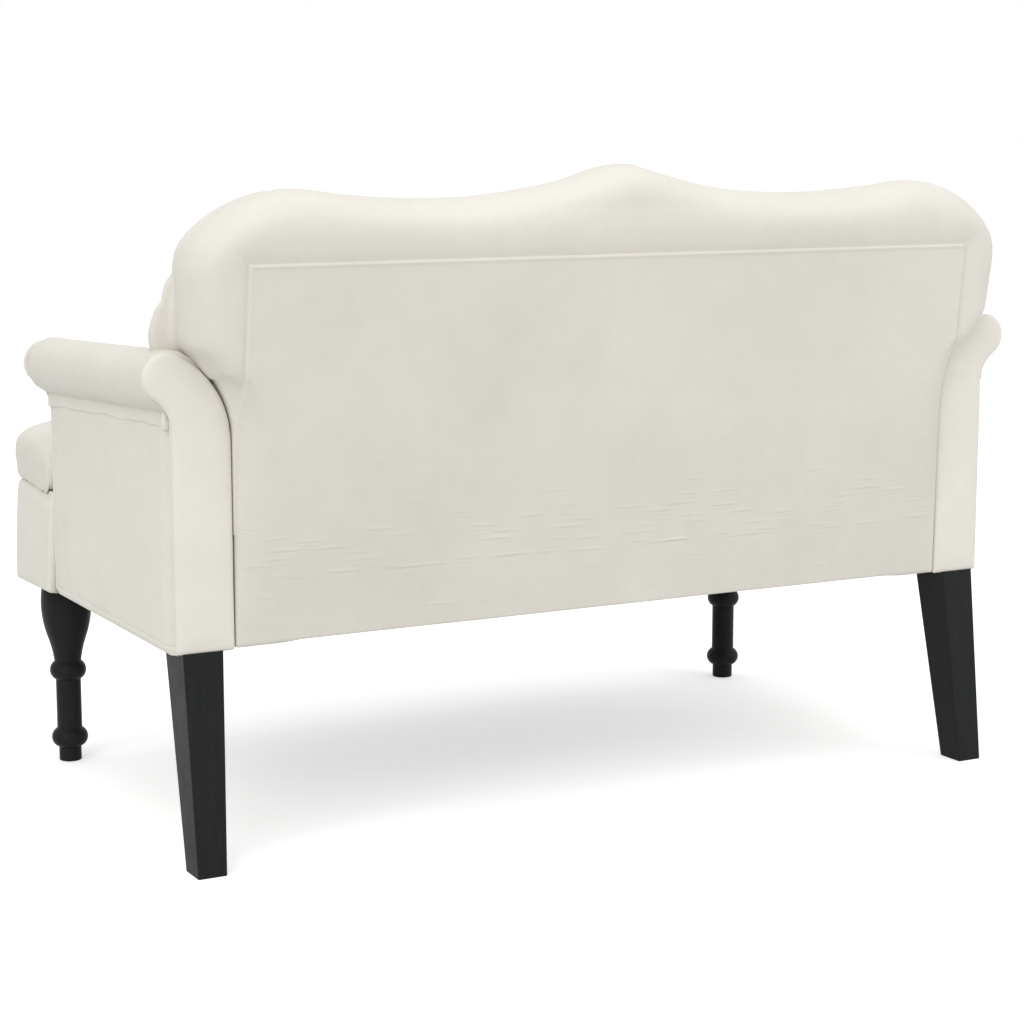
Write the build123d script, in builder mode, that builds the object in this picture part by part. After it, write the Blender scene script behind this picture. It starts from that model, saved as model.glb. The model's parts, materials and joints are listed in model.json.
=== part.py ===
"""Upholstered settee bench: camelback, scroll arms, T-shaped seat cushion and turned front legs.

Millimetres. X runs across the width with the sitter's left at +X, the front is at -Y, and Z is up from
the floor. Left pieces are modelled and mirrored to make the right ones.
"""
import os
from math import cos, hypot, pi, radians, sin, sqrt, tan

from build123d import *

os.makedirs("parts", exist_ok=True)

# Main heights and widths
leg_height = 240  # floor to the underside of the frame
frame_height = 117  # underside of the frame to the underside of the seat cushion
arm_height = 292  # underside of the frame to the centre of the arm roll at the rear
back_height = 490.5  # underside of the frame to the shoulders, up the leaning back
clear_half_width = 468  # centre line to the inner face of an arm
arm_width = 67
arm_rear = 268  # Y of the rear face of an arm
arm_length = 419
wing_reach = 137  # how far the seat frame stands ahead of the arms

# Cloth, boards and straps
skin = 2  # cover material with its lining
clearance = 2  # between padded units that are bolted together
rail_thickness = 24
board_thickness = 18
border_thickness = 6
border_step = 1  # end rails stand this far inside the arm's outer face
border_drop = 5  # foot of the front border below the frame
strap_thickness = 2
strap_width = 50
long_straps = 4
cross_straps = 8
back_straps = 6
dust_cloth = 1

# Seat cushion
cushion_height = 92
cushion_overhang = 26  # ahead of the covered front border
cushion_side_overhang = 3
cushion_corner = 50
cushion_least_corner = 8
cushion_seam_inset = 6  # bottom seam, drawn in
cushion_edge_inset = 30  # top edge, rounded in
cushion_crown_inset = 60
cushion_crown = 8
cushion_widest = 34  # height of the fullest line above the bottom seam

# Back, drawn on a plane that leans to the rear
back_lean = 6.83
back_setback = 1.5
back_inset = 7.5  # sides of the back inside the arm's outer face
peak_rise = 23.1  # peak above the shoulders
peak_radius = 85
sweep_radius = 800
shoulder_radius = 150
corner_radius = 67
side_tuck = 3  # degrees that the sides draw in towards the arms
back_depth = 106
crown_depth = 42  # depth of the crown line in front of the rear plane
rear_round = 30
front_round = 48
band_width = 40  # padding between the frame and the crown
back_board = 32
stile_width = 32
stile_inset = 28  # outer edge of a stile inside the arm
top_rail_height = 118.5  # top rail's foot below the shoulders
back_frame_lift = 4  # foot of the back frame above the underside of the seat frame
lower_rail_height = 86
tacking_rail_gap = 15  # above the foot of the padding
tacking_rail_height = 45
panel_gap = 2  # outside panel inside the arm
panel_margin = 73.5  # top of the outside panel below the shoulders
panel_hang = 1  # outside panel below the foot of the back frame
panel_thickness = 2
panel_lap = 14

# Tufting on the inside of the back
button_pitch = 150
row_pitch = 120
button_drop = 102.5  # upper row below the shoulders
button_radius = 10
button_fit = 1  # dimple's floor round the button
button_height = 7
dimple_radius = 24
dimple_depth = 14
groove_depth = 9

# Scroll arms
arm_drop = 19  # how far the roll slopes down from rear to front
facing_thickness = 6
facing_edge = 3.5
post_thickness = 15
pad_thickness = 15
spring_drop = 66  # inner face starts to curve outwards this far below the roll's centre
facing_head_radius = 27
facing_head_lift = 3.5  # head centre above the roll's centre
facing_head_offset = 4.5  # head centre beyond the arm's outer face
facing_neck_radius = 40
roll_radius = 33
roll_offset = 3  # roll centre inside the arm's outer face
roll_neck_radius = 6
panel_board = 3
arm_panel_drop = 5  # foot of the arm's outside below the frame
lap_drop = 62  # inner edge of the lap below the roll's centre
hem_gap = 1.5  # hem below the lowest line of the roll
hem_height = 14.5
hem_thickness = 3.5
top_bar = 24
arm_rail_height = 88

# Legs
front_leg_inset = 48  # leg centre inside the end of the covered border
front_leg_setback = 48  # leg centre behind the face of the covered border
foot_radius = 14
ring_radius = 22.6
ring_height = 23
lower_ring = 18
shaft_radius = 15.6
vase_height = 112
vase_radius = 31.2
vase_drop = 43  # widest line below the top of the leg
vase_neck_radius = 24
vase_neck_drop = 80  # where the hollow neck turns into the belly
leg_top_radius = 26
leg_fillet = 1  # small steps of the turning
rear_leg_top = (46, 56)
rear_leg_foot = (33, 38)
rear_leg_toe = 1  # outer face drawn in at the foot
rear_leg_rake = 29.5
rear_leg_edge = 7  # outer face of the rear leg inside the arm's outer face
rear_leg_arris = 1.5  # softened edges

# Hardware
bolt_radius = 4
bolt_fit = 0.25  # hole round a bolt
bolt_head_radius = 8
bolt_head_height = 5
nut_radius = 5.5
nut_length = 12
nut_flange_radius = 10
nut_flange = 1.5
leg_bolt_depth = 40
rear_leg_bolt_depth = 30
leg_block_height = 40
leg_block_length = 98
arm_bolt_rise = 50  # above the underside of the frame
arm_bolt_margins = (89, 150)  # from the arm's front and from its rear
rear_bolt_margin = 7  # rear leg bolt ahead of the arm's rear post
back_bolt_height = 60
back_bolt_bite = 20

# Places that follow from the sizes above
hole_radius = bolt_radius + bolt_fit
seat_height = leg_height + frame_height
roll_height = leg_height + arm_height
spring_height = roll_height - spring_drop
facing_head_height = roll_height + facing_head_lift
lap_height = roll_height - lap_drop
pad_foot = leg_height + arm_rail_height + clearance
arm_bolt_height = leg_height + arm_bolt_rise
arm_front = arm_rear - arm_length
arm_outer = clear_half_width + arm_width
arm_sides = (clear_half_width, arm_outer)
arm_bolt_places = (arm_front + arm_bolt_margins[0], arm_rear - arm_bolt_margins[1])
rail_front = arm_front - wing_reach
rail_back_face = rail_front + board_thickness
end_rail_outer = arm_outer - border_step
border_outer = end_rail_outer + border_thickness
border_front = rail_front - border_thickness
wing_rear = arm_front - border_thickness
strap_top = seat_height
rail_top = seat_height - strap_thickness
side_rail_top = rail_top - strap_thickness
seat_side = clear_half_width - clearance
back_foot = arm_rear - back_setback
frame_front = skin + back_board
pocket_depth = frame_front + strap_thickness
rear_rail_front = frame_front + rail_thickness
front_leg_x = border_outer - front_leg_inset
front_leg_y = border_front + front_leg_setback
rear_leg_x = arm_outer - rear_leg_edge - rear_leg_top[0] / 2
lean_sin = sin(radians(back_lean))
lean_cos = cos(radians(back_lean))
back_half_width = arm_outer - back_inset
back_peak = back_height + peak_rise
back_pad_foot = (frame_height + clearance) / lean_cos
top_rail_foot = back_height - top_rail_height
tacking_rail_foot = back_pad_foot + tacking_rail_gap
stile_edge = clear_half_width - stile_inset
panel_half_width = clear_half_width - panel_gap
panel_foot = back_frame_lift - panel_hang
panel_height = back_height - panel_margin
upper_row = back_height - button_drop
button_rows = (upper_row - row_pitch, upper_row)
half_turn = sin(pi / 4)
rear_plane = Plane(origin=(0, back_foot, leg_height), x_dir=(1, 0, 0), z_dir=(0, -lean_cos, lean_sin))


def save(builder, name):
    builder.part.label = name
    export_step(builder.part, f"parts/{name}.step")


def save_pair(builder, name):
    """Writes the left piece and its mirror image."""
    save(builder, f"left_{name}")
    with BuildPart() as twin:
        mirror(builder.part, about=Plane.YZ)
    save(twin, f"right_{name}")


def upright(y):
    """Plane across the bench at Y, drawn in X and Z, facing the front."""
    return Plane.XZ.offset(-y)


def lean_y(depth, z):
    """Y of the leaning back at a depth in front of its rear plane, at height z."""
    return back_foot + (z - leg_height) * tan(radians(back_lean)) - depth / lean_cos


def toward(start, end, distance):
    """Point at a distance from start on the way to end."""
    share = distance / hypot(end[0] - start[0], end[1] - start[1])
    return (start[0] + (end[0] - start[0]) * share, start[1] + (end[1] - start[1]) * share)


def arc_about(centre, start, end):
    """Minor arc from start to end about a centre."""
    middle = ((start[0] + end[0]) / 2, (start[1] + end[1]) / 2)
    radius = hypot(start[0] - centre[0], start[1] - centre[1])
    return ThreePointArc(start, toward(centre, middle, radius), end)


def slope_drop(y):
    """How far the arm roll has come down at Y."""
    return arm_drop * (arm_rear - y) / arm_length


def box_between(low, high):
    """Block between two corners, added to the part being built."""
    size = Vector(*high) - Vector(*low)
    with Locations((Vector(*low) + Vector(*high)) / 2):
        return Box(*size)


# Scroll profile of the arm

facing_head = (arm_outer + facing_head_offset, facing_head_height, facing_head_radius)
roll_head = (arm_outer - roll_offset, roll_height, roll_radius)


def scroll_section(y, head, inner, outer, neck_radius, drop=0, inset=0, foot=leg_height, tab=None):
    """Arm section at Y: inner face, sweep to the head, round head, neck and outer face.

    A tab (inner thickness, height of its lap) leaves only the padding over the inside and the roll.
    """
    head_x, head_z, head_radius = head
    head_centre = (head_x, head_z - drop)
    spring = spring_height - drop
    reach = head_x - inner
    rise = head_z - spring_height
    sweep = (reach**2 + rise**2 - head_radius**2) / (2 * (reach - head_radius))
    sweep_centre = (inner + sweep, spring)
    neck_x = outer + neck_radius
    neck_fall = sqrt((head_radius + neck_radius) ** 2 - (neck_x - head_x) ** 2)
    neck_centre = (neck_x, head_z - drop - neck_fall)
    inner_x = inner + inset
    outer_x = outer - inset
    crest = toward(sweep_centre, head_centre, sweep - inset)
    brow = (head_x + head_radius - inset, head_z - drop)
    throat = toward(head_centre, neck_centre, head_radius - inset)
    with BuildSketch(upright(y)) as section:
        with BuildLine():
            Line((inner_x, foot), (inner_x, spring))
            arc_about(sweep_centre, (inner_x, spring), crest)
            arc_about(head_centre, crest, brow)
            arc_about(head_centre, brow, throat)
            arc_about(neck_centre, throat, (outer_x, neck_centre[1]))
            neck_end = (outer_x, neck_centre[1])
            if tab:
                lap = tab[1] - drop
                shelf = inner + tab[0]
                Polyline(neck_end, (outer_x, lap), (shelf, lap), (shelf, foot), (inner_x, foot))
            else:
                Polyline(neck_end, (outer_x, foot), (inner_x, foot))
        make_face()
    return section.sketch


def arm_padding(inset):
    """Sloping padding of an arm between its two facings, drawn in from the skin's outside by inset."""
    sections = []
    sides = (clear_half_width, arm_outer - panel_board)
    tab = (skin + pad_thickness, lap_height)
    for y in (arm_rear - facing_thickness, arm_front + facing_thickness):
        drop = slope_drop(y)
        sections += [scroll_section(y, roll_head, *sides, roll_neck_radius, drop, inset, pad_foot, tab)]
    loft(sections, ruled=True)


post_inset = skin + pad_thickness
post_inner = clear_half_width + post_inset
post_outer = arm_outer - panel_board - skin
post_head = roll_head[:2] + (roll_radius - post_inset,)


def arm_post(y):
    """Scroll-topped board of the arm frame whose rear face is at Y."""
    section = scroll_section(y, post_head, post_inner, post_outer, roll_neck_radius, slope_drop(y))
    extrude(section, amount=post_thickness)


# Arm frame

rear_post_face = arm_rear - facing_thickness
front_post_face = arm_front + facing_thickness + post_thickness
arm_bay = (front_post_face, rear_post_face - post_thickness)

with BuildPart() as arm_rear_post:
    arm_post(rear_post_face)
save_pair(arm_rear_post, "arm_rear_post")

with BuildPart() as arm_front_post:
    arm_post(front_post_face)
save_pair(arm_front_post, "arm_front_post")

with BuildPart() as arm_top_rail:
    for y in arm_bay:
        with BuildSketch(upright(y)):
            with Locations((roll_head[0], roll_height - slope_drop(y))):
                Rectangle(top_bar, top_bar)
    loft(ruled=True)
save_pair(arm_top_rail, "arm_top_rail")

rear_bolt_y = arm_bay[1] - rear_bolt_margin

with BuildPart() as arm_lower_rail:
    rail_low = (clear_half_width, arm_bay[0], leg_height)
    box_between(rail_low, (post_outer, arm_bay[1], leg_height + arm_rail_height))
    for y in arm_bolt_places:
        with Locations(Plane(origin=(clear_half_width, y, arm_bolt_height), z_dir=(1, 0, 0))):
            Cylinder(hole_radius, 2 * arm_width, mode=Mode.SUBTRACT)
        with Locations(Plane(origin=(post_outer, y, arm_bolt_height), z_dir=(1, 0, 0))):
            Cylinder(nut_radius, 2 * nut_length, mode=Mode.SUBTRACT)
    with Locations((rear_leg_x, rear_bolt_y, leg_height)):
        Cylinder(hole_radius, 2 * leg_bolt_depth, mode=Mode.SUBTRACT)
save_pair(arm_lower_rail, "arm_lower_rail")

# Arm padding and covers

with BuildPart() as arm_foam:
    arm_padding(skin)
    add(arm_rear_post.part, mode=Mode.SUBTRACT)
    add(arm_front_post.part, mode=Mode.SUBTRACT)
    add(arm_top_rail.part, mode=Mode.SUBTRACT)
save_pair(arm_foam, "arm_foam")

with BuildPart() as arm_filling:
    arm_padding(skin)

with BuildPart() as arm_cover:
    arm_padding(0)
    add(arm_filling.part, mode=Mode.SUBTRACT)
save_pair(arm_cover, "arm_cover")

strip_top = roll_height - roll_radius - hem_gap

with BuildPart() as arm_hem_strip:
    for y in (arm_rear - facing_thickness, arm_front + facing_thickness):
        with BuildSketch(upright(y)):
            with Locations((arm_outer, strip_top - slope_drop(y))):
                Rectangle(hem_thickness, hem_height, align=(Align.MIN, Align.MAX))
    loft(ruled=True)
save_pair(arm_hem_strip, "arm_hem_strip")

with BuildPart() as arm_outside_panel:
    for y in (arm_rear - facing_thickness, arm_front + facing_thickness):
        with BuildSketch(upright(y)):
            panel_top = strip_top - slope_drop(y) - hem_height / 2
            arm_panel_foot = leg_height - arm_panel_drop
            with Locations((arm_outer, arm_panel_foot)):
                Rectangle(panel_board, panel_top - arm_panel_foot, align=(Align.MAX, Align.MIN))
    loft(ruled=True)
save_pair(arm_outside_panel, "arm_outside_panel")

with BuildPart() as arm_rear_facing:
    rear_outline = scroll_section(arm_rear, facing_head, *arm_sides, facing_neck_radius)
    extrude(rear_outline, amount=facing_thickness)
    fillet(arm_rear_facing.faces().sort_by(Axis.Y)[-1].edges(), facing_edge)
save_pair(arm_rear_facing, "arm_rear_facing")

with BuildPart() as arm_front_facing:
    facing_back = arm_front + facing_thickness
    front_outline = scroll_section(facing_back, facing_head, *arm_sides, facing_neck_radius, arm_drop)
    extrude(front_outline, amount=facing_thickness)
    fillet(arm_front_facing.faces().sort_by(Axis.Y)[0].edges(), facing_edge)
save_pair(arm_front_facing, "arm_front_facing")

# Space that the padded back leaves free round each arm
with BuildPart() as arm_space:
    behind = arm_rear + arm_length
    for head, neck in ((facing_head, facing_neck_radius), (roll_head, roll_neck_radius)):
        outline = scroll_section(behind, head, *arm_sides, neck, inset=-clearance, foot=0)
        extrude(outline, amount=2 * arm_length)
    mirror(about=Plane.YZ)

# Seat frame

with BuildPart() as front_rail:
    box_between((-end_rail_outer, rail_front, leg_height), (end_rail_outer, rail_back_face, rail_top))
save(front_rail, "front_rail")

with BuildPart() as end_rail:
    end_rail_inner = end_rail_outer - board_thickness
    box_between((end_rail_inner, rail_back_face, leg_height), (end_rail_outer, wing_rear, seat_height))
save_pair(end_rail, "end_rail")

with BuildPart() as rear_rail:
    with BuildSketch(rear_plane.offset(frame_front)):
        Rectangle(2 * (clear_half_width - rail_thickness), 4 * leg_height)
    extrude(amount=rail_thickness)
    split(bisect_by=Plane.XY.offset(rail_top), keep=Keep.BOTTOM)
    split(bisect_by=Plane.XY.offset(leg_height), keep=Keep.TOP)
    for side in (-1, 1):
        bolt_x = side * (stile_edge - stile_width / 2)
        with Locations(rear_plane.offset(frame_front).location * Location((bolt_x, back_bolt_height, 0))):
            Cylinder(hole_radius, 3 * rail_thickness, mode=Mode.SUBTRACT)
save(rear_rail, "rear_rail")

with BuildPart() as side_rail:
    with BuildSketch(Plane.YZ.offset(clear_half_width)):
        with BuildLine():
            rear_foot = (lean_y(frame_front, leg_height), leg_height)
            rear_top = (lean_y(frame_front, side_rail_top), side_rail_top)
            front_top = (rail_back_face, side_rail_top)
            Polyline(rear_foot, rear_top, front_top, (rail_back_face, leg_height), close=True)
        make_face()
    extrude(amount=-rail_thickness)
    for y in arm_bolt_places:
        with Locations(Plane(origin=(clear_half_width, y, arm_bolt_height), z_dir=(1, 0, 0))):
            Cylinder(hole_radius, 3 * rail_thickness, mode=Mode.SUBTRACT)
save_pair(side_rail, "side_rail")

with BuildPart() as leg_block:
    block_high = (end_rail_inner, rail_back_face + leg_block_length, leg_height + leg_block_height)
    box_between((clear_half_width, rail_back_face, leg_height), block_high)
    with Locations((front_leg_x, front_leg_y, leg_height)):
        Cylinder(hole_radius, 3 * leg_block_height, mode=Mode.SUBTRACT)
    with Locations((front_leg_x, front_leg_y, leg_height + leg_block_height)):
        Cylinder(nut_radius, 2 * nut_length, mode=Mode.SUBTRACT)
save_pair(leg_block, "leg_block")

# Seat webbing: long straps from side to side, cross straps from front to rear above them

rear_rail_y = lean_y(rear_rail_front, rail_top)
seat_bay = (rail_back_face, rear_rail_y)

with BuildPart() as seat_webbing_long:
    for i in range(long_straps):
        y = seat_bay[0] + (seat_bay[1] - seat_bay[0]) * (i + 0.5) / long_straps
        with Locations((0, y, side_rail_top)):
            bottom_up = (Align.CENTER, Align.CENTER, Align.MIN)
            Box(2 * clear_half_width, strap_width, strap_thickness, align=bottom_up)
save(seat_webbing_long, "seat_webbing_long")

with BuildPart() as seat_webbing_cross:
    bay_half_width = clear_half_width - rail_thickness
    for i in range(cross_straps):
        x = bay_half_width * (2 * (i + 0.5) / cross_straps - 1)
        low = (x - strap_width / 2, rail_front, rail_top)
        box_between(low, (x + strap_width / 2, rear_rail_y + board_thickness, strap_top))
save(seat_webbing_cross, "seat_webbing_cross")

# Seat cushion, lofted upwards through T-shaped outlines

cushion_front = border_front - cushion_overhang
cushion_end = border_outer + cushion_side_overhang
cushion_rear = lean_y(back_depth, seat_height) - clearance
cushion_neck = arm_front - clearance


def cushion_outline(z, inset, rear_inset):
    """T-shaped outline at a height, drawn in by inset, with round corners at the wings."""
    corner = max(cushion_corner - inset, cushion_least_corner)
    end = cushion_end - inset
    side = seat_side - inset
    front = cushion_front + inset
    neck = cushion_neck - inset
    rear = cushion_rear - rear_inset
    with BuildSketch(Plane.XY.offset(z)) as outline:
        with BuildLine():
            wing = FilletPolyline((0, front), (end, front), (end, neck), (side, neck), radius=corner)
            Polyline(wing @ 1, (side, rear), (0, rear))
            mirror(about=Plane.YZ)
        make_face()
    return outline.sketch


def cushion_form(cover):
    """Crowned cushion with drawn-in seams, inside a cover of the given thickness."""
    upper = cushion_height - cushion_crown - cushion_widest
    widest = seat_height + cushion_widest
    levels = [(seat_height, cushion_seam_inset), (widest, 0)]
    for turn in (30, 60, 85):
        rise = (upper - cover) * sin(radians(turn))
        levels += [(widest + rise, cushion_edge_inset * (1 - cos(radians(turn))))]
    levels += [(widest + upper + cushion_crown - cover, cushion_crown_inset)]
    loft([cushion_outline(z, inset + cover, cover) for z, inset in levels], ruled=True)


with BuildPart() as seat_foam:
    cushion_form(skin)
save(seat_foam, "seat_foam")

with BuildPart() as seat_cover:
    cushion_form(0)
    add(seat_foam.part, mode=Mode.SUBTRACT)
save(seat_cover, "seat_cover")

with BuildPart() as front_border:
    border_foot = leg_height - border_drop
    box_between((-border_outer, border_front, border_foot), (border_outer, wing_rear, seat_height))
    front_edges = front_border.edges().filter_by(Axis.Z).group_by(Axis.Y)[0]
    fillet(front_edges, 2 * border_thickness)
    with Locations((0, rail_front, border_foot)):
        from_front = (Align.CENTER, Align.MIN, Align.MIN)
        Box(2 * end_rail_outer, arm_length, arm_length, align=from_front, mode=Mode.SUBTRACT)
save(front_border, "front_border")

with BuildPart() as dust_cover:
    with BuildSketch(Plane.XY.offset(leg_height)):
        wing_length = wing_rear - rail_front
        with Locations((0, rail_front)):
            Rectangle(2 * end_rail_outer, wing_length, align=(Align.CENTER, Align.MIN))
            stem_length = lean_y(frame_front, leg_height) - rail_front
            Rectangle(2 * seat_side, stem_length, align=(Align.CENTER, Align.MIN))
        with Locations((front_leg_x, front_leg_y), (-front_leg_x, front_leg_y)):
            Circle(leg_top_radius + clearance, mode=Mode.SUBTRACT)
    extrude(amount=-dust_cloth)
save(dust_cover, "dust_cover")

# Camelback outline of tangent arcs, on the leaning plane


def camelback(depth, inset, foot):
    """Outline of the back at a depth in front of the rear plane, drawn in by inset, down to a foot."""
    peak = (0, back_peak - peak_radius)
    lean_in = shoulder_radius - corner_radius
    shoulder_x = back_half_width - corner_radius - lean_in * half_turn
    shoulder = (shoulder_x, back_height - shoulder_radius)
    corner = (shoulder[0] + lean_in * half_turn, shoulder[1] + lean_in * half_turn)
    # Centre of the hollow sweep, which touches the peak and shoulder arcs from outside
    span = hypot(shoulder[0] - peak[0], shoulder[1] - peak[1])
    from_peak = peak_radius + sweep_radius
    from_shoulder = shoulder_radius + sweep_radius
    along = (from_peak**2 - from_shoulder**2 + span**2) / (2 * span)
    rise = sqrt(from_peak**2 - along**2)
    base = toward(peak, shoulder, along)
    across = ((peak[1] - shoulder[1]) / span, (shoulder[0] - peak[0]) / span)
    sweep = (base[0] + across[0] * rise, base[1] + across[1] * rise)
    peak_end = toward(peak, sweep, peak_radius - inset)
    shoulder_start = toward(shoulder, sweep, shoulder_radius - inset)
    shoulder_end = toward(shoulder, corner, shoulder_radius - inset)
    tuck = radians(side_tuck)
    corner_reach = corner_radius - inset
    corner_end = (corner[0] + corner_reach * cos(tuck), corner[1] - corner_reach * sin(tuck))
    side_foot = (corner_end[0] - (corner_end[1] - foot) * tan(tuck), foot)
    with BuildSketch(rear_plane.offset(depth)) as outline:
        with BuildLine():
            arc_about(peak, (0, back_peak - inset), peak_end)
            arc_about(sweep, peak_end, shoulder_start)
            arc_about(shoulder, shoulder_start, shoulder_end)
            arc_about(corner, shoulder_end, corner_end)
            Polyline(corner_end, side_foot, (0, foot))
            mirror(about=Plane.YZ)
        make_face()
    return outline.sketch


# Buttons stand in two staggered rows on the inside of the back
front_plane = rear_plane.offset(back_depth)
low_row = [(i * button_pitch, button_rows[0]) for i in range(-2, 3)]
high_row = [((i + 0.5) * button_pitch, button_rows[1]) for i in range(-3, 3)]


def groove(start, end, depth):
    """Cuts one pleat as a V between two points of the front plane."""
    first = front_plane.from_local_coords(Vector(*start, 0))
    last = front_plane.from_local_coords(Vector(*end, 0))
    middle = (first + last) / 2
    along = last - first
    bar = depth * sqrt(2)
    with Locations(Plane(origin=middle, x_dir=along, z_dir=front_plane.z_dir).rotated((45, 0, 0))):
        Box(along.length, bar, bar, mode=Mode.SUBTRACT)


def tufting(cover):
    """Cuts the dimples and pleats, deeper by the cover's thickness in what lies under it."""
    depth = groove_depth + cover
    for column, row in low_row:
        for step in (-0.5, 0.5):
            groove((column, row), (column + step * button_pitch, button_rows[1]), depth)
        groove((column, row), (column, 0), depth)
    for column, row in high_row:
        groove((column, row), (column, back_peak), depth)
    for side in (-1, 1):
        end_button = (side * 2.5 * button_pitch, button_rows[1])
        groove(end_button, (side * back_half_width, button_rows[1] - button_pitch / 4), depth)
    for column, row in low_row + high_row:
        with Locations(front_plane.location * Location((column, row, 0))):
            top_down = (Align.CENTER, Align.CENTER, Align.MAX)
            deep = dimple_depth + cover
            wide = dimple_radius + cover
            Cone(button_radius + button_fit + cover, wide, deep, align=top_down, mode=Mode.SUBTRACT)


def back_form(cover):
    """Padded back with a round crown and a tufted front, inside a cover of the given thickness."""
    levels = []
    for turn in (90, 60, 30):
        level_inset = rear_round * (1 - cos(radians(turn)))
        levels += [(crown_depth - (crown_depth - cover) * sin(radians(turn)), level_inset)]
    front_reach = back_depth - crown_depth - cover
    for turn in (0, 30, 60, 90):
        level_inset = front_round * (1 - cos(radians(turn)))
        levels += [(crown_depth + front_reach * sin(radians(turn)), level_inset)]
    loft([camelback(depth, inset + cover, back_pad_foot) for depth, inset in levels], ruled=True)
    tufting(cover)
    add(arm_space.part, mode=Mode.SUBTRACT)


# Back frame

with BuildPart() as back_stile:
    with BuildSketch(rear_plane.offset(skin)):
        with Locations((stile_edge, back_frame_lift)):
            Rectangle(stile_width, top_rail_foot - back_frame_lift, align=(Align.MAX, Align.MIN))
    extrude(amount=back_board)
    bolt_place = Location((stile_edge - stile_width / 2, back_bolt_height, 0))
    with Locations(rear_plane.offset(frame_front).location * bolt_place):
        Cylinder(hole_radius, 2 * (back_bolt_bite + clearance), mode=Mode.SUBTRACT)
save_pair(back_stile, "back_stile")

with BuildPart() as back_top_rail:
    extrude(camelback(skin, band_width, 0), amount=back_board)
    rail_foot = rear_plane.from_local_coords(Vector(0, top_rail_foot, 0))
    split(bisect_by=Plane(origin=rail_foot, z_dir=rear_plane.y_dir), keep=Keep.TOP)
save(back_top_rail, "back_top_rail")

bay_width = 2 * (stile_edge - stile_width)

with BuildPart() as back_lower_rail:
    with BuildSketch(rear_plane.offset(skin)):
        with Locations((0, back_frame_lift)):
            Rectangle(bay_width, lower_rail_height, align=(Align.CENTER, Align.MIN))
    extrude(amount=back_board)
save(back_lower_rail, "back_lower_rail")

with BuildPart() as back_tacking_rail:
    with BuildSketch(rear_plane.offset(skin)):
        with Locations((0, tacking_rail_foot)):
            Rectangle(bay_width, tacking_rail_height, align=(Align.CENTER, Align.MIN))
    extrude(amount=back_board)
save(back_tacking_rail, "back_tacking_rail")

with BuildPart() as back_webbing:
    with BuildSketch(rear_plane.offset(frame_front)):
        strap_foot = tacking_rail_foot + tacking_rail_height / 3
        strap_length = top_rail_foot + strap_width / 2 - strap_foot
        for i in range(back_straps):
            with Locations((bay_width * ((i + 0.5) / back_straps - 0.5), strap_foot)):
                Rectangle(strap_width, strap_length, align=(Align.CENTER, Align.MIN))
    extrude(amount=strap_thickness)
save(back_webbing, "back_webbing")

# Back padding and covers

with BuildPart() as back_filling:
    back_form(skin)

with BuildPart() as back_foam:
    add(back_filling.part)
    extrude(camelback(0, band_width, 0), amount=pocket_depth, mode=Mode.SUBTRACT)
save(back_foam, "back_foam")

with BuildPart() as back_cover:
    back_form(0)
    add(back_filling.part, mode=Mode.SUBTRACT)
    with BuildSketch(rear_plane):
        Rectangle(2 * (panel_half_width - panel_lap), 2 * (panel_height - panel_lap))
    extrude(amount=skin, mode=Mode.SUBTRACT)
save(back_cover, "back_cover")

with BuildPart() as outside_back_panel:
    with BuildSketch(rear_plane):
        with Locations((0, panel_foot)):
            Rectangle(2 * panel_half_width, panel_height - panel_foot, align=(Align.CENTER, Align.MIN))
    extrude(amount=-panel_thickness)
save(outside_back_panel, "outside_back_panel")

with BuildPart() as back_buttons:
    for column, row in low_row + high_row:
        with Locations(front_plane.location * Location((column, row, -dimple_depth))):
            Cylinder(button_radius, button_height, align=(Align.CENTER, Align.CENTER, Align.MIN))
    chamfer(back_buttons.edges().group_by(Axis((0, 0, 0), tuple(front_plane.z_dir)))[-1], button_height / 3)
save(back_buttons, "back_buttons")

# Legs

with BuildPart() as front_leg:
    with BuildSketch(Plane(origin=(front_leg_x, front_leg_y, 0), x_dir=(1, 0, 0), z_dir=(0, -1, 0))):
        with BuildLine():
            lower_top = lower_ring + ring_height
            upper_top = leg_height - vase_height
            upper_ring = upper_top - ring_height
            foot_edge = (foot_radius, leg_fillet)
            Polyline((0, 0), (foot_radius - leg_fillet, 0), foot_edge, (foot_radius, lower_ring))
            ring_middle = lower_ring + ring_height / 2
            collar = (shaft_radius + leg_fillet, lower_top)
            ThreePointArc((foot_radius, lower_ring), (ring_radius, ring_middle), collar)
            Polyline(collar, (shaft_radius, lower_top + leg_fillet), (shaft_radius, upper_ring))
            ring_middle = upper_ring + ring_height / 2
            vase_start = (shaft_radius + leg_fillet, upper_top)
            ThreePointArc((shaft_radius, upper_ring), (ring_radius, ring_middle), vase_start)
            neck_end = (vase_neck_radius, leg_height - vase_neck_drop)
            widest = (vase_radius, leg_height - vase_drop)
            belly = ThreePointArc(neck_end, widest, (leg_top_radius, leg_height))
            TangentArc(neck_end, vase_start, tangent=-(belly % 0))
            Polyline(belly @ 1, (0, leg_height), (0, 0))
        make_face()
    revolve(axis=Axis((front_leg_x, front_leg_y, 0), (0, 0, 1)))
    with Locations((front_leg_x, front_leg_y, leg_height)):
        Cylinder(hole_radius, 2 * leg_bolt_depth, mode=Mode.SUBTRACT)
save_pair(front_leg, "front_leg")

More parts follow.
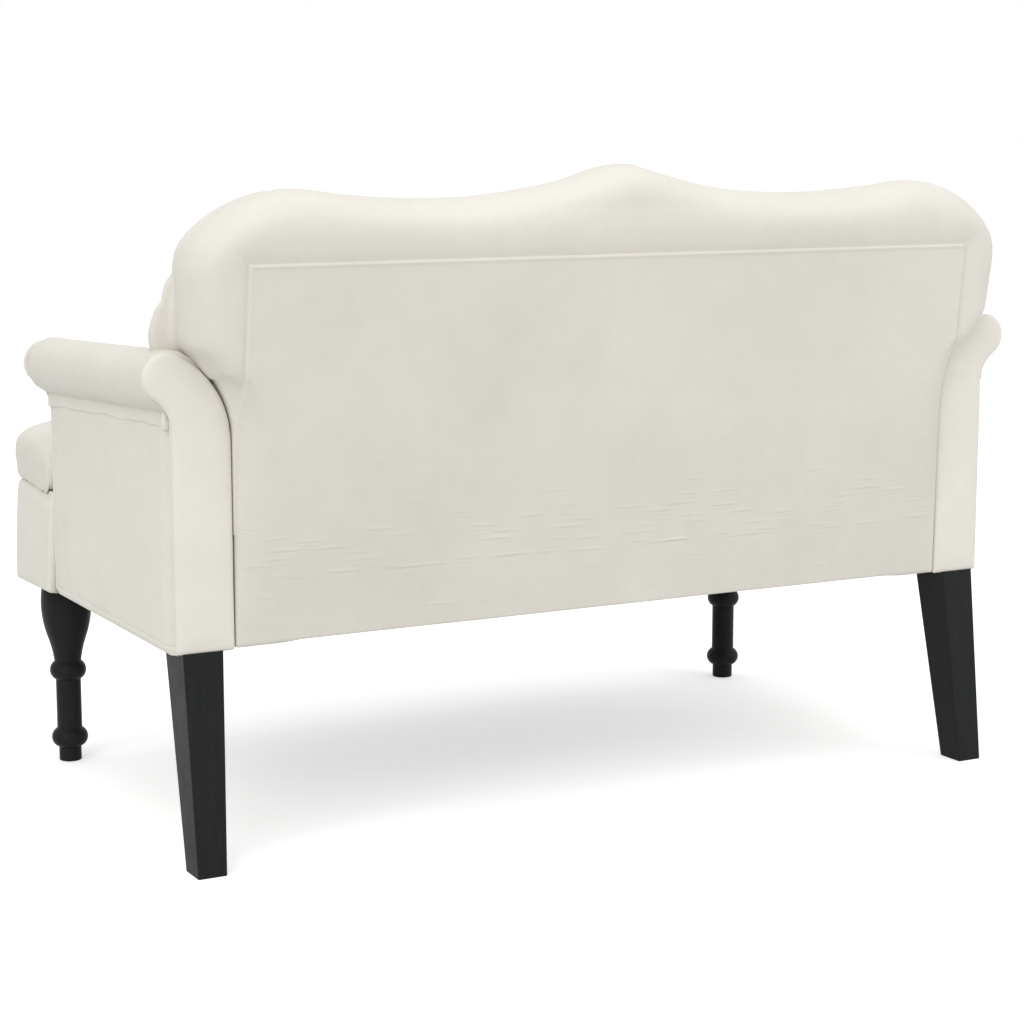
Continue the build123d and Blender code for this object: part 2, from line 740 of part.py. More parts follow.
with BuildPart() as rear_leg:
    leg_edge = arm_outer - rear_leg_edge
    foot_corner = (leg_edge - rear_leg_toe, arm_rear + rear_leg_rake)
    for z, size, corner in ((0, rear_leg_foot, foot_corner),
                            (leg_height, rear_leg_top, (leg_edge, arm_rear))):
        with BuildSketch(Plane.XY.offset(z)):
            with Locations(corner):
                Rectangle(*size, align=(Align.MAX, Align.MAX))
    loft(ruled=True)
    fillet(rear_leg.edges().sort_by(Axis.Z)[4:8], rear_leg_arris)
    with Locations((rear_leg_x, rear_bolt_y, leg_height)):
        Cylinder(hole_radius, 2 * rear_leg_bolt_depth, mode=Mode.SUBTRACT)
save_pair(rear_leg, "rear_leg")

# Hardware, each kind one group of separate pieces

with BuildPart() as front_leg_bolts:
    stud_length = leg_bolt_depth + leg_block_height
    for side in (-1, 1):
        with Locations((side * front_leg_x, front_leg_y, leg_height - leg_bolt_depth)):
            Cylinder(bolt_radius, stud_length, align=(Align.CENTER, Align.CENTER, Align.MIN))
save(front_leg_bolts, "front_leg_bolts")


def tee_nut(place):
    """Flanged nut whose flange lies on the face at place and whose barrel points into the wood."""
    with Locations(place):
        Cylinder(nut_radius, nut_length, align=(Align.CENTER, Align.CENTER, Align.MAX))
        Cylinder(nut_flange_radius, nut_flange, align=(Align.CENTER, Align.CENTER, Align.MIN))
        Cylinder(hole_radius, 3 * nut_length, mode=Mode.SUBTRACT)


with BuildPart() as front_leg_nuts:
    for side in (-1, 1):
        tee_nut(Plane(origin=(side * front_leg_x, front_leg_y, leg_height + leg_block_height)))
save(front_leg_nuts, "front_leg_nuts")

with BuildPart() as rear_leg_bolts:
    for side in (-1, 1):
        with Locations((side * rear_leg_x, rear_bolt_y, leg_height - rear_leg_bolt_depth)):
            stud_length = rear_leg_bolt_depth + leg_bolt_depth
            Cylinder(bolt_radius, stud_length, align=(Align.CENTER, Align.CENTER, Align.MIN))
save(rear_leg_bolts, "rear_leg_bolts")

with BuildPart() as arm_bolts:
    for side in (-1, 1):
        for y in arm_bolt_places:
            head_face = side * (clear_half_width - rail_thickness)
            with Locations(Plane(origin=(head_face, y, arm_bolt_height), z_dir=(side, 0, 0))):
                shank = rail_thickness + post_outer - clear_half_width
                Cylinder(bolt_radius, shank, align=(Align.CENTER, Align.CENTER, Align.MIN))
                Cylinder(bolt_head_radius, bolt_head_height, align=(Align.CENTER, Align.CENTER, Align.MAX))
save(arm_bolts, "arm_bolts")

with BuildPart() as arm_nuts:
    for side in (-1, 1):
        for y in arm_bolt_places:
            tee_nut(Plane(origin=(side * post_outer, y, arm_bolt_height), z_dir=(side, 0, 0)))
save(arm_nuts, "arm_nuts")

with BuildPart() as back_bolts:
    for side in (-1, 1):
        bolt_place = Location((side * (stile_edge - stile_width / 2), back_bolt_height, 0))
        with Locations(rear_plane.offset(rear_rail_front).location * bolt_place):
            shank = rail_thickness + back_bolt_bite
            Cylinder(bolt_radius, shank, align=(Align.CENTER, Align.CENTER, Align.MAX))
            Cylinder(bolt_head_radius, bolt_head_height, align=(Align.CENTER, Align.CENTER, Align.MIN))
save(back_bolts, "back_bolts")
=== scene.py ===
"""Looks of the upholstered settee bench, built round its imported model.

Metres, in the model's own frame: X across the width with the sitter's left at +X, the front at -Y, Z up.
"""
import json
import math

import bmesh
import bpy
import numpy as np
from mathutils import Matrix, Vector, kdtree, noise


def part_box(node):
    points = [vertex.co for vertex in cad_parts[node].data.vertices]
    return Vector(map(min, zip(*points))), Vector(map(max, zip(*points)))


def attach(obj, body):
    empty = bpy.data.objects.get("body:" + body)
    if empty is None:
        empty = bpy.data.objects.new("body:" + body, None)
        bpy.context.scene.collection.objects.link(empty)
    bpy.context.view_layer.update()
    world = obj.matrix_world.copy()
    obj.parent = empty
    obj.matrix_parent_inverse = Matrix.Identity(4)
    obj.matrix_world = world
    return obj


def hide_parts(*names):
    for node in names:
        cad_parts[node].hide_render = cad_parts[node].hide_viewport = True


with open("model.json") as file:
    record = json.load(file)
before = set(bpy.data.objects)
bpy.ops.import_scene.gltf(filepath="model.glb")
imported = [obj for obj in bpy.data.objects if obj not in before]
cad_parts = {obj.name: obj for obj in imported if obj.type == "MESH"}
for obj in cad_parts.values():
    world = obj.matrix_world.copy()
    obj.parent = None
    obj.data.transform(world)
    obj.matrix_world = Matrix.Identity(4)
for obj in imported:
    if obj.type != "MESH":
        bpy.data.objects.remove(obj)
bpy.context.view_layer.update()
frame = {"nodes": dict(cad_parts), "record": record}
scene = bpy.context.scene

# Heights and widths of the model
LEG_HEIGHT = 0.240
SEAT_HEIGHT = 0.357
ARM_INNER = 0.468
ARM_OUTER = 0.535
ARM_REAR = 0.268
ARM_FRONT = -0.151
ARM_DROP = 0.019
FACING = 0.006
PANEL_BOARD = 0.003
CLEARANCE = 0.002
ARM_GAP = 0.0008
FAR = 9.0
BORDER_OUTER = 0.540
BORDER_FRONT = -0.294
BORDER_DROP = 0.005
SIDE_FOOT = LEG_HEIGHT - 0.005
WING_REAR = -0.157

# The leaning back
BACK_FOOT = 0.2665
LEAN = math.radians(6.83)
BACK_DEPTH = 0.106
CROWN_DEPTH = 0.042
REAR_ROUND = 0.030
FRONT_ROUND = 0.048
PAD_FOOT = 0.120
HALF_WIDTH = 0.5275
SHOULDER = 0.4905
PEAK = 0.5136
PEAK_RADIUS = 0.085
SWEEP_RADIUS = 0.800
SHOULDER_RADIUS = 0.150
CORNER_RADIUS = 0.067
SIDE_TUCK = math.radians(3)
PANEL_HALF_WIDTH = 0.466
PANEL_HEIGHT = 0.417
PANEL_TAPER = 0.0045
PANEL_EDGE = 0.012
COVER = 0.0022
SIDE_BEAD = 0.0004
TOP_BEAD = 0.0009
PANEL_CREASE = 0.00060
BUTTON_PITCH = 0.150
LOW_ROW = 0.268
HIGH_ROW = 0.388
BUTTON_DEPTH = 0.092
SIDE_PLEAT = 0.366

# How the back is drawn in beside the arms, and how its cover gives
DRAW = 1.4
POST_OVERLAP = 0.007
PUFF_REACH = 0.058
PUFF = 0.010
PLEAT_SINK = 0.0130
BUTTON_SINK = 0.0055
BUTTON_HOLLOW = 0.017
CREASE = 0.0040
BAND_REACH = 0.055
BAND = 0.003
SEAM_DIP = 0.0012
SEAM_DEPTH = 0.060
CROWN_DROP = 0.0023
CROWN_HOLLOW = 0.0020
HEAD_HEIGHT = 0.295

# Cells that the padded pieces are remeshed to
BACK_CELL = 0.0065
ARM_CELL = 0.005
FACING_CELL = 0.0022
SEAT_CELL = 0.007

# Scroll of the arms: centre X, centre Z at the rear, radius
ROLL = (0.532, 0.532, 0.033)
FACING_HEAD = (0.5395, 0.5355, 0.027)
SPRING_HEIGHT = 0.466
ARM_PAD_FOOT = 0.330
ARM_PAD = 0.017
LAP_HEIGHT = 0.470
NECK_RADIUS = 0.006
HEM_TOP = 0.4975
HEM_HEIGHT = 0.0145
FACING_FULLNESS = 0.0022

# Cushion and border
CUSHION_FULLNESS = 0.004
CUSHION_SHOULDER = 0.0045
WING_DROP = 0.0130
RIM_SAG = 0.008
BORDER_CORNER = 0.012
LEG_HOLE = 0.030
DUST_CELL = 0.0125


# Shader helpers

def add_node(tree, kind, inputs=None, **settings):
    """Adds a shader node, with its settings and its input values or links."""
    made = tree.nodes.new(kind)
    for key, value in settings.items():
        setattr(made, key, value)
    for key, value in (inputs or {}).items():
        socket = made.inputs[key]
        if isinstance(value, bpy.types.NodeSocket):
            tree.links.new(value, socket)
        else:
            socket.default_value = value
    return made


def new_look(name):
    """Material with an empty principled shader, and the coordinates that its textures use."""
    look = bpy.data.materials.new(name)
    look.use_nodes = True
    tree = look.node_tree
    shader = tree.nodes["Principled BSDF"]
    place = add_node(tree, "ShaderNodeTexCoord").outputs["Object"]
    return look, tree, shader, place


def stretched(tree, place, scale):
    """Coordinates scaled by axis."""
    return add_node(tree, "ShaderNodeMapping", {"Vector": place, "Scale": scale}).outputs["Vector"]


def cloud(tree, place, scale, detail=3.0, roughness=0.55, distortion=0.0):
    """Noise value between 0 and 1."""
    inputs = {"Vector": place, "Scale": scale, "Detail": detail}
    inputs |= {"Roughness": roughness, "Distortion": distortion}
    return add_node(tree, "ShaderNodeTexNoise", inputs).outputs["Fac"]


def between(tree, value, low, high, start=0.3, end=0.7):
    """Maps a noise value to a range."""
    inputs = {"Value": value, "From Min": start, "From Max": end, "To Min": low, "To Max": high}
    return add_node(tree, "ShaderNodeMapRange", inputs).outputs["Result"]


def blend_colours(tree, factor, first, second):
    """Mixes two colours by a factor."""
    mixed = add_node(tree, "ShaderNodeMix", data_type="RGBA")
    tree.links.new(factor, mixed.inputs["Factor"])
    for index, value in ((6, first), (7, second)):
        if isinstance(value, bpy.types.NodeSocket):
            tree.links.new(value, mixed.inputs[index])
        else:
            mixed.inputs[index].default_value = (*value, 1)
    return mixed.outputs[2]


def bumped(tree, height, distance, strength, under=None):
    """Bump normal from a height value, on top of another bump."""
    inputs = {"Height": height, "Distance": distance, "Strength": strength}
    if under is not None:
        inputs["Normal"] = under
    return add_node(tree, "ShaderNodeBump", inputs).outputs["Normal"]


def shade(colour, share):
    """A colour made darker or lighter."""
    return tuple(c * share for c in colour)


def leather_look(name, cream, blotch):
    """Matt cream faux leather with a fine pebble grain."""
    look, tree, shader, place = new_look(name)
    broad = between(tree, cloud(tree, place, 5.5, 4), 0, 1)
    fine = between(tree, cloud(tree, place, 38, 3), 0.985, 1.01)
    colour = blend_colours(tree, broad, shade(cream, 1 - blotch), shade(cream, 1 + blotch / 2))
    colour = add_node(tree, "ShaderNodeVectorMath", {0: colour, 3: fine}, operation="SCALE").outputs[0]
    tree.links.new(colour, shader.inputs["Base Color"])
    rough = between(tree, cloud(tree, place, 90, 2), 0.47, 0.60)
    tree.links.new(rough, shader.inputs["Roughness"])
    shader.inputs["Specular IOR Level"].default_value = 0.35
    cells = add_node(tree, "ShaderNodeTexVoronoi", {"Vector": place, "Scale": 620.0, "Randomness": 1.0})
    grain = bumped(tree, cells.outputs["Distance"], 0.0002, 0.35)
    ripple = bumped(tree, cloud(tree, place, 140, 3), 0.0006, 0.22, grain)
    tree.links.new(ripple, shader.inputs["Normal"])
    return look


def lacquer_look():
    """Satin black lacquer over wood, with a faint grain under it."""
    look, tree, shader, place = new_look("satin_black_lacquer")
    along = stretched(tree, place, (160, 160, 9))
    fibre = cloud(tree, along, 1.0, 4, 0.6)
    dark, light = (0.0165, 0.0178, 0.0174), (0.0205, 0.0218, 0.0214)
    black = blend_colours(tree, between(tree, fibre, 0, 1), dark, light)
    tree.links.new(black, shader.inputs["Base Color"])
    rough = between(tree, cloud(tree, place, 30, 3), 0.36, 0.46)
    tree.links.new(rough, shader.inputs["Roughness"])
    shader.inputs["Specular IOR Level"].default_value = 0.06
    tree.links.new(bumped(tree, fibre, 0.0002, 0.12), shader.inputs["Normal"])
    return look


def wood_look():
    """Raw sawn wood of the hidden frame."""
    look, tree, shader, place = new_look("raw_frame_wood")
    along = stretched(tree, place, (9, 70, 70))
    fibre = cloud(tree, along, 1.0, 5, 0.6, 0.4)
    colour = blend_colours(tree, between(tree, fibre, 0, 1), (0.50, 0.35, 0.20), (0.66, 0.50, 0.33))
    tree.links.new(colour, shader.inputs["Base Color"])
    tree.links.new(between(tree, fibre, 0.62, 0.80), shader.inputs["Roughness"])
    tree.links.new(bumped(tree, fibre, 0.0006, 0.4), shader.inputs["Normal"])
    return look


def webbing_look():
    """Woven elastic straps."""
    look, tree, shader, place = new_look("woven_webbing")
    waves = []
    for direction in ("X", "Y"):
        wave = add_node(tree, "ShaderNodeTexWave", {"Vector": place, "Scale": 150.0, "Distortion": 0.6},
                        bands_direction=direction)
        waves += [wave.outputs["Fac"]]
    weave = add_node(tree, "ShaderNodeMath", {0: waves[0], 1: waves[1]}, operation="MULTIPLY").outputs[0]
    colour = blend_colours(tree, weave, (0.10, 0.10, 0.105), (0.23, 0.23, 0.235))
    tree.links.new(colour, shader.inputs["Base Color"])
    tree.links.new(between(tree, weave, 0.75, 0.9, 0, 1), shader.inputs["Roughness"])
    tree.links.new(bumped(tree, weave, 0.0005, 0.6), shader.inputs["Normal"])
    return look


def dust_cloth_look():
    """Black spun dust cloth with pressed points."""
    look, tree, shader, place = new_look("black_dust_cloth")
    dots = add_node(tree, "ShaderNodeTexVoronoi", {"Vector": place, "Scale": 420.0, "Randomness": 0.25})
    fuzz = cloud(tree, place, 260, 4)
    colour = blend_colours(tree, between(tree, fuzz, 0, 1), (0.018, 0.018, 0.019), (0.045, 0.045, 0.046))
    tree.links.new(colour, shader.inputs["Base Color"])
    tree.links.new(between(tree, fuzz, 0.8, 0.95), shader.inputs["Roughness"])
    tree.links.new(bumped(tree, dots.outputs["Distance"], 0.0004, 0.5), shader.inputs["Normal"])
    return look


def steel_look():
    """Zinc-plated hardware."""
    look, tree, shader, place = new_look("zinc_plated_steel")
    spots = cloud(tree, place, 300, 4)
    colour = blend_colours(tree, between(tree, spots, 0, 1), (0.52, 0.52, 0.50), (0.66, 0.66, 0.63))
    tree.links.new(colour, shader.inputs["Base Color"])
    shader.inputs["Metallic"].default_value = 1.0
    tree.links.new(between(tree, spots, 0.28, 0.42), shader.inputs["Roughness"])
    return look


CREAM = (0.790, 0.763, 0.696)
LEATHER = leather_look("cream_faux_leather", CREAM, 0.03)
# Darker copy of the same cream leather for the back padding, the arm padding and the seat cushion:
# painted shade that darkens their rounded forms
PAD_LEATHER_PAINTED_SHADE = leather_look("cream_leather_with_painted_pad_shade", shade(CREAM, 0.935), 0.035)
# Darker copy of the same cream leather for the outside back panel: painted shade, as if the panel stood
# in shade
REAR_LEATHER_PAINTED_SHADE = leather_look("cream_leather_with_painted_rear_shade", shade(CREAM, 0.915), 0.05)
LOOKS = {
    "faux_leather": LEATHER,
    "foam": LEATHER,
    "black_lacquer": lacquer_look(),
    "frame_wood": wood_look(),
    "webbing": webbing_look(),
    "dust_cloth": dust_cloth_look(),
    "zinc_steel": steel_look(),
}
for row in frame["record"]["subparts"]:
    node_mesh = frame["nodes"][row["node"]].data
    node_mesh.materials.clear()
    node_mesh.materials.append(LOOKS[row["material_slot"]])


# Mesh helpers

def smooth_step(value, start, end):
    """0 before start, 1 after end, smooth between."""
    share = np.clip((value - start) / (end - start), 0, 1)
    return share * share * (3 - 2 * share)


def soft_noise(points, scale, seed):
    """Smooth noise from -1 to 1 at each point."""
    shift = Vector((seed * 7.1, seed * 3.7, seed * 5.3))
    return np.array([noise.noise(Vector(p) * scale + shift) for p in points.tolist()])


def quads(rows, columns, closed=False):
    """Faces of a grid of points in row order. A closed grid joins its last column to its first."""
    last = columns if closed else columns - 1
    faces = []
    for r in range(rows - 1):
        here, above = r * columns, (r + 1) * columns
        for c in range(last):
            following = (c + 1) % columns
            faces += [(here + c, here + following, above + following, above + c)]
    return faces


def mesh_piece(name, points, faces, slot="faux_leather"):
    """Smooth-shaded object from points and faces, with its normals pointing out."""
    mesh = bpy.data.meshes.new(name)
    mesh.from_pydata(np.asarray(points).reshape(-1, 3).tolist(), [], faces)
    work = bmesh.new()
    work.from_mesh(mesh)
    bmesh.ops.recalc_face_normals(work, faces=work.faces)
    work.to_mesh(mesh)
    work.free()
    mesh.shade_smooth()
    mesh.materials.append(LOOKS[slot])
    piece = bpy.data.objects.new(name, mesh)
    scene.collection.objects.link(piece)
    return piece


def ring_loft(name, rings, slot="faux_leather"):
    """Closed solid through rings of points, with flat ends."""
    rows, columns = rings.shape[:2]
    faces = quads(rows, columns, closed=True)
    faces += [tuple(range(columns)), tuple(range((rows - 1) * columns, rows * columns))]
    return mesh_piece(name, rings, faces, slot)


def shell(name, outer, inner, slot="faux_leather"):
    """Closed sheet between two grids of points, joined round their edges."""
    rows, columns = outer.shape[:2]
    count = rows * columns
    grid = quads(rows, columns)
    faces = grid + [tuple(count + i for i in reversed(face)) for face in grid]
    border = list(range(columns))
    border += [r * columns + columns - 1 for r in range(1, rows)]
    border += list(range(count - 2, count - columns - 1, -1))
    border += [r * columns for r in range(rows - 2, 0, -1)]
    faces += [(b, a, count + a, count + b) for a, b in zip(border, border[1:] + border[:1])]
    points = np.vstack([outer.reshape(-1, 3), inner.reshape(-1, 3)])
    return mesh_piece(name, points, faces, slot)


def copy_of(node, name):
    """New faux leather piece that starts from a node's mesh."""
    piece = bpy.data.objects.new(name, frame["nodes"][node].data.copy())
    scene.collection.objects.link(piece)
    return piece


def bake(piece):
    """Applies a piece's modifiers."""
    bpy.context.view_layer.update()
    graph = bpy.context.evaluated_depsgraph_get()
    mesh = bpy.data.meshes.new_from_object(piece.evaluated_get(graph))
    piece.modifiers.clear()
    piece.data = mesh
    mesh.shade_smooth()


def remesh(piece, voxel, smoothing, look):
    """Even quads all over a piece, with its steps smoothed, in one look."""
    step = piece.modifiers.new("voxels", "REMESH")
    step.mode = "VOXEL"
    step.voxel_size = voxel
    bake(piece)
    relax(piece, smoothing)
    piece.data.materials.clear()
    piece.data.materials.append(look)


def relax(piece, times):
    """Smooths a piece a number of times."""
    step = piece.modifiers.new("relax", "SMOOTH")
    step.factor = 0.5
    step.iterations = times
    bake(piece)


def refine(piece):
    """Subdivides a piece once."""
    step = piece.modifiers.new("refine", "SUBSURF")
    step.levels = 1
    step.render_levels = 1
    bake(piece)


def vertex_rows(mesh, key):
    """A mesh's places or normals, as one row for each vertex."""
    flat = np.empty(len(mesh.vertices) * 3)
    mesh.vertices.foreach_get(key, flat)
    return flat.reshape(-1, 3)


def places(piece):
    return vertex_rows(piece.data, "co")


def facing_of(piece):
    return vertex_rows(piece.data, "normal")


def put(piece, points):
    """Moves a piece's vertices to these places."""
    piece.data.vertices.foreach_set("co", points.ravel())
    piece.data.update()


def inflate(piece, held, pressure, cap, frames=20):
    """Swells a padded piece by a short cloth simulation.

    Held points stay, and no point moves further than the cap.
    """
    start = places(piece)
    group = piece.vertex_groups.new(name="held")
    group.add(np.flatnonzero(held).tolist(), 1.0, "REPLACE")
    cloth = piece.modifiers.new("swell", "CLOTH")
    cloth.settings.vertex_group_mass = group.name
    cloth.settings.use_pressure = True
    cloth.settings.uniform_pressure_force = pressure
    cloth.settings.effector_weights.gravity = 0
    cloth.settings.tension_stiffness = 12
    cloth.settings.compression_stiffness = 12
    cloth.settings.bending_stiffness = 2
    cloth.point_cache.frame_start = 1
    cloth.point_cache.frame_end = frames
    for step in range(1, frames + 1):
        scene.frame_set(step)
    graph = bpy.context.evaluated_depsgraph_get()
    swollen = bpy.data.meshes.new_from_object(piece.evaluated_get(graph))
    moved = vertex_rows(swollen, "co") - start
    piece.modifiers.clear()
    piece.vertex_groups.clear()
    bpy.data.meshes.remove(swollen)
    scene.frame_set(1)
    length = np.linalg.norm(moved, axis=1, keepdims=True)
    put(piece, start + moved * np.minimum(1, cap / np.maximum(length, 1e-9)))


def dress(piece, *nodes):
    """The piece stands for these nodes and rides with the bench."""
    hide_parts(*nodes)
    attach(piece, "root")


# Places on the leaning back: X, height up the lean, depth in front of its rear plane

def from_back(x, up, depth):
    """Places in the model's frame."""
    y = BACK_FOOT + up * math.sin(LEAN) - depth * math.cos(LEAN)
    z = LEG_HEIGHT + up * math.cos(LEAN) + depth * math.sin(LEAN)
    return np.stack(np.broadcast_arrays(x, y, z), axis=-1)


def to_back(points):
    """X, height and depth on the back of places in the model's frame."""
    y = points[:, 1] - BACK_FOOT
    z = points[:, 2] - LEG_HEIGHT
    up = y * math.sin(LEAN) + z * math.cos(LEAN)
    depth = z * math.sin(LEAN) - y * math.cos(LEAN)
    return points[:, 0], up, depth


def arc(centre, radius, start, end, hollow=False):
    """Points of an arc, with the outward normal at each."""
    turn = np.linspace(start, end, 60)
    out = np.stack([np.cos(turn), np.sin(turn)], axis=1)
    return np.hstack([np.asarray(centre) + radius * out, -out if hollow else out])


def direction(start, end):
    """Angle of the way from one point to another."""
    return math.atan2(end[1] - start[1], end[0] - start[0])


def crown_line(count):
    """Half the camelback outline from the peak to the foot, as even points with their outward normals."""
    peak = np.array([0, PEAK - PEAK_RADIUS])
    lean_in = (SHOULDER_RADIUS - CORNER_RADIUS) * math.sin(math.pi / 4)
    shoulder = np.array([HALF_WIDTH - CORNER_RADIUS - lean_in, SHOULDER - SHOULDER_RADIUS])
    corner = shoulder + lean_in
    span = np.linalg.norm(shoulder - peak)
    from_peak = PEAK_RADIUS + SWEEP_RADIUS
    from_shoulder = SHOULDER_RADIUS + SWEEP_RADIUS
    along = (from_peak**2 - from_shoulder**2 + span**2) / (2 * span)
    run = (shoulder - peak) / span
    sweep = peak + run * along + np.array([-run[1], run[0]]) * math.sqrt(from_peak**2 - along**2)
    peak_turn = direction(peak, sweep)
    shoulder_turn = direction(shoulder, sweep)
    line = np.vstack([
        arc(peak, PEAK_RADIUS, math.pi / 2, peak_turn),
        arc(sweep, SWEEP_RADIUS, peak_turn - math.pi, shoulder_turn - math.pi, hollow=True),
        arc(shoulder, SHOULDER_RADIUS, shoulder_turn, math.pi / 4),
        arc(corner, CORNER_RADIUS, math.pi / 4, -SIDE_TUCK),
    ])
    end = line[-1]
    fall = end[1] - PAD_FOOT
    line = np.vstack([line, [end[0] - fall * math.tan(SIDE_TUCK), PAD_FOOT, end[2], end[3]]])
    length = np.concatenate([[0], np.cumsum(np.linalg.norm(np.diff(line[:, :2], axis=0), axis=1))])
    even = np.linspace(0, length[-1], count)
    return np.stack([np.interp(even, length, column) for column in line.T], axis=1)


def sweep_radius(head_x, head_z, radius):
    """Radius of the hollow sweep from an arm's inside face up to its scroll."""
    reach = head_x - ARM_INNER
    rise = head_z - SPRING_HEIGHT
    return (reach**2 + rise**2 - radius**2) / (2 * (reach - radius))


def arm_limit(z):
    """X of an arm's inner side at a height, less a small gap, and far out above its scroll."""
    limit = np.full(np.shape(z), FAR)
    for head_x, head_z, radius in (ROLL, FACING_HEAD):
        sweep = sweep_radius(head_x, head_z, radius)
        climb = np.clip(z - SPRING_HEIGHT, 0, head_z - SPRING_HEIGHT + radius)
        curve = ARM_INNER + sweep - np.sqrt(np.maximum(sweep**2 - climb**2, 0))
        over = np.clip(z - head_z, 0, radius)
        head = head_x - np.sqrt(radius**2 - over**2)
        curve = np.where(z > head_z, np.maximum(curve, head), curve)
        limit = np.minimum(limit, np.where(z < head_z + radius, curve, FAR))
    return limit - ARM_GAP


def slope_drop(y):
    """How far the top of an arm has fallen at a place along it."""
    return ARM_DROP * (ARM_REAR - y) / (ARM_REAR - ARM_FRONT)


def post_depth(up):
    """Depth at which the back meets an arm: its post's plane, or a little behind it by the scroll."""
    beside_scroll = smooth_step(up, 0.195, 0.265)
    return up * math.tan(LEAN) - POST_OVERLAP * beside_scroll


def drawn_in(x, up):
    """How far the rear of the back is drawn forward beside the arms."""
    start = arm_limit(LEG_HEIGHT + up * math.cos(LEAN)) - REAR_ROUND
    share = np.clip((np.abs(x) - start) / REAR_ROUND, 0, 1)
    return post_depth(up) * (1 - (1 - share**DRAW) ** (1 / DRAW))


def arm_inset(up, depth):
    """How far the padding stays off an arm behind its post, on the same curve, less by the head."""
    behind = np.clip(1 - depth / np.maximum(post_depth(up), 1e-6), 0, 1)
    beside_head = smooth_step(up, 0.265, 0.315)
    rounding = REAR_ROUND * (1 - 0.45 * beside_head)
    return rounding * (1 - (1 - behind**DRAW) ** (1 / DRAW))


# Padded back

low_buttons = [(i * BUTTON_PITCH, LOW_ROW) for i in range(-2, 3)]
high_buttons = [((i + 0.5) * BUTTON_PITCH, HIGH_ROW) for i in range(-3, 3)]
pleats = []
for column, row in low_buttons:
    pleats += [((column, row), (column + side * BUTTON_PITCH / 2, HIGH_ROW)) for side in (-1, 1)]
    pleats += [((column, row), (column, 0.0))]
for column, row in high_buttons:
    pleats += [((column, row), (column, PEAK))]
for side in (-1, 1):
    pleats += [((side * 2.5 * BUTTON_PITCH, HIGH_ROW), (side * HALF_WIDTH, SIDE_PLEAT))]


def pleat_distance(x, up):
    """Distance to the nearest pleat."""
    nearest = np.full(x.shape, FAR)
    for start, end in pleats:
        run = np.array(end) - np.array(start)
        share = ((x - start[0]) * run[0] + (up - start[1]) * run[1]) / (run @ run)
        share = np.clip(share, 0, 1)
        away = np.hypot(x - start[0] - share * run[0], up - start[1] - share * run[1])
        nearest = np.minimum(nearest, away)
    return nearest


def button_distance(x, up):
    """Distance to the middle of the nearest button."""
    return np.min([np.hypot(x - column, up - row) for column, row in low_buttons + high_buttons], axis=0)


def side_swell(up, depth, z):
    """How far the inside padding swells out over an arm, in two puffs that meet at the side pleat."""
    puff_top, rounding = 0.394, 0.030
    upper = 0.017 * np.sqrt(np.clip((puff_top - up) / rounding, 0, 1))
    lower = 0.011 * np.sqrt(np.clip((SIDE_PLEAT - up) / rounding, 0, 1))
    inside = smooth_step(depth, 0.054, 0.072) * (1 - 0.45 * smooth_step(depth, 0.088, 0.106))
    over_arm = smooth_step(z, 0.540, 0.556)
    return (upper + lower) * inside * over_arm


def back_block():
    """Camelback block: the crown's outline carried round from the rear face to the front."""
    half = crown_line(96)
    mirrored = half[:0:-1] * np.array([-1, 1, -1, 1])
    outline = np.vstack([mirrored, half])
    rings = []
    levels = [(90 - 10 * i, REAR_ROUND, -CROWN_DEPTH) for i in range(9)]
    levels += [(10 * i, FRONT_ROUND, BACK_DEPTH - CROWN_DEPTH) for i in range(10)]
    for turn, rounding, reach in levels:
        inset = rounding * (1 - math.cos(math.radians(turn)))
        depth = CROWN_DEPTH + reach * math.sin(math.radians(turn))
        x = outline[:, 0] - outline[:, 2] * inset
        up = outline[:, 1] - outline[:, 3] * inset
        up[[0, -1]] = PAD_FOOT
        ring = from_back(x, up, np.full(x.shape, depth))
        limit = arm_limit(ring[:, 2]) - arm_inset(up, depth)
        ring[:, 0] = np.clip(ring[:, 0], -limit, limit)
        rings += [ring]
    return ring_loft("back_padding", np.array(rings))


def tuft_back(piece):
    """Sinks the pleats and the buttons, and swells the puffs between them."""
    x, up, depth = to_back(places(piece))
    pleat = pleat_distance(x, up)
    button = button_distance(x, up)
    fullness = np.sin(np.clip(pleat / PUFF_REACH, 0, 1) * math.pi / 2)
    front = smooth_step(depth, 0.060, 0.094)
    above_seat = smooth_step(up, 0.205, 0.260)
    sink = PLEAT_SINK * (1 - fullness) + BUTTON_SINK * np.exp(-((button / BUTTON_HOLLOW) ** 2))
    puff = PUFF * fullness**2 * above_seat
    depth = depth + front * (puff - sink)
    put(piece, from_back(x, up, depth))
    held = (pleat < 0.008) & (front > 0.5) | (depth < 0.014) | (up < PAD_FOOT + 0.02)
    beside_post = (np.abs(x) > 0.430) & (up < 0.230)
    held |= beside_post & (depth < CROWN_DEPTH)
    inflate(piece, held, pressure=3.0, cap=0.006)
    relax(piece, 1)
    refine(piece)


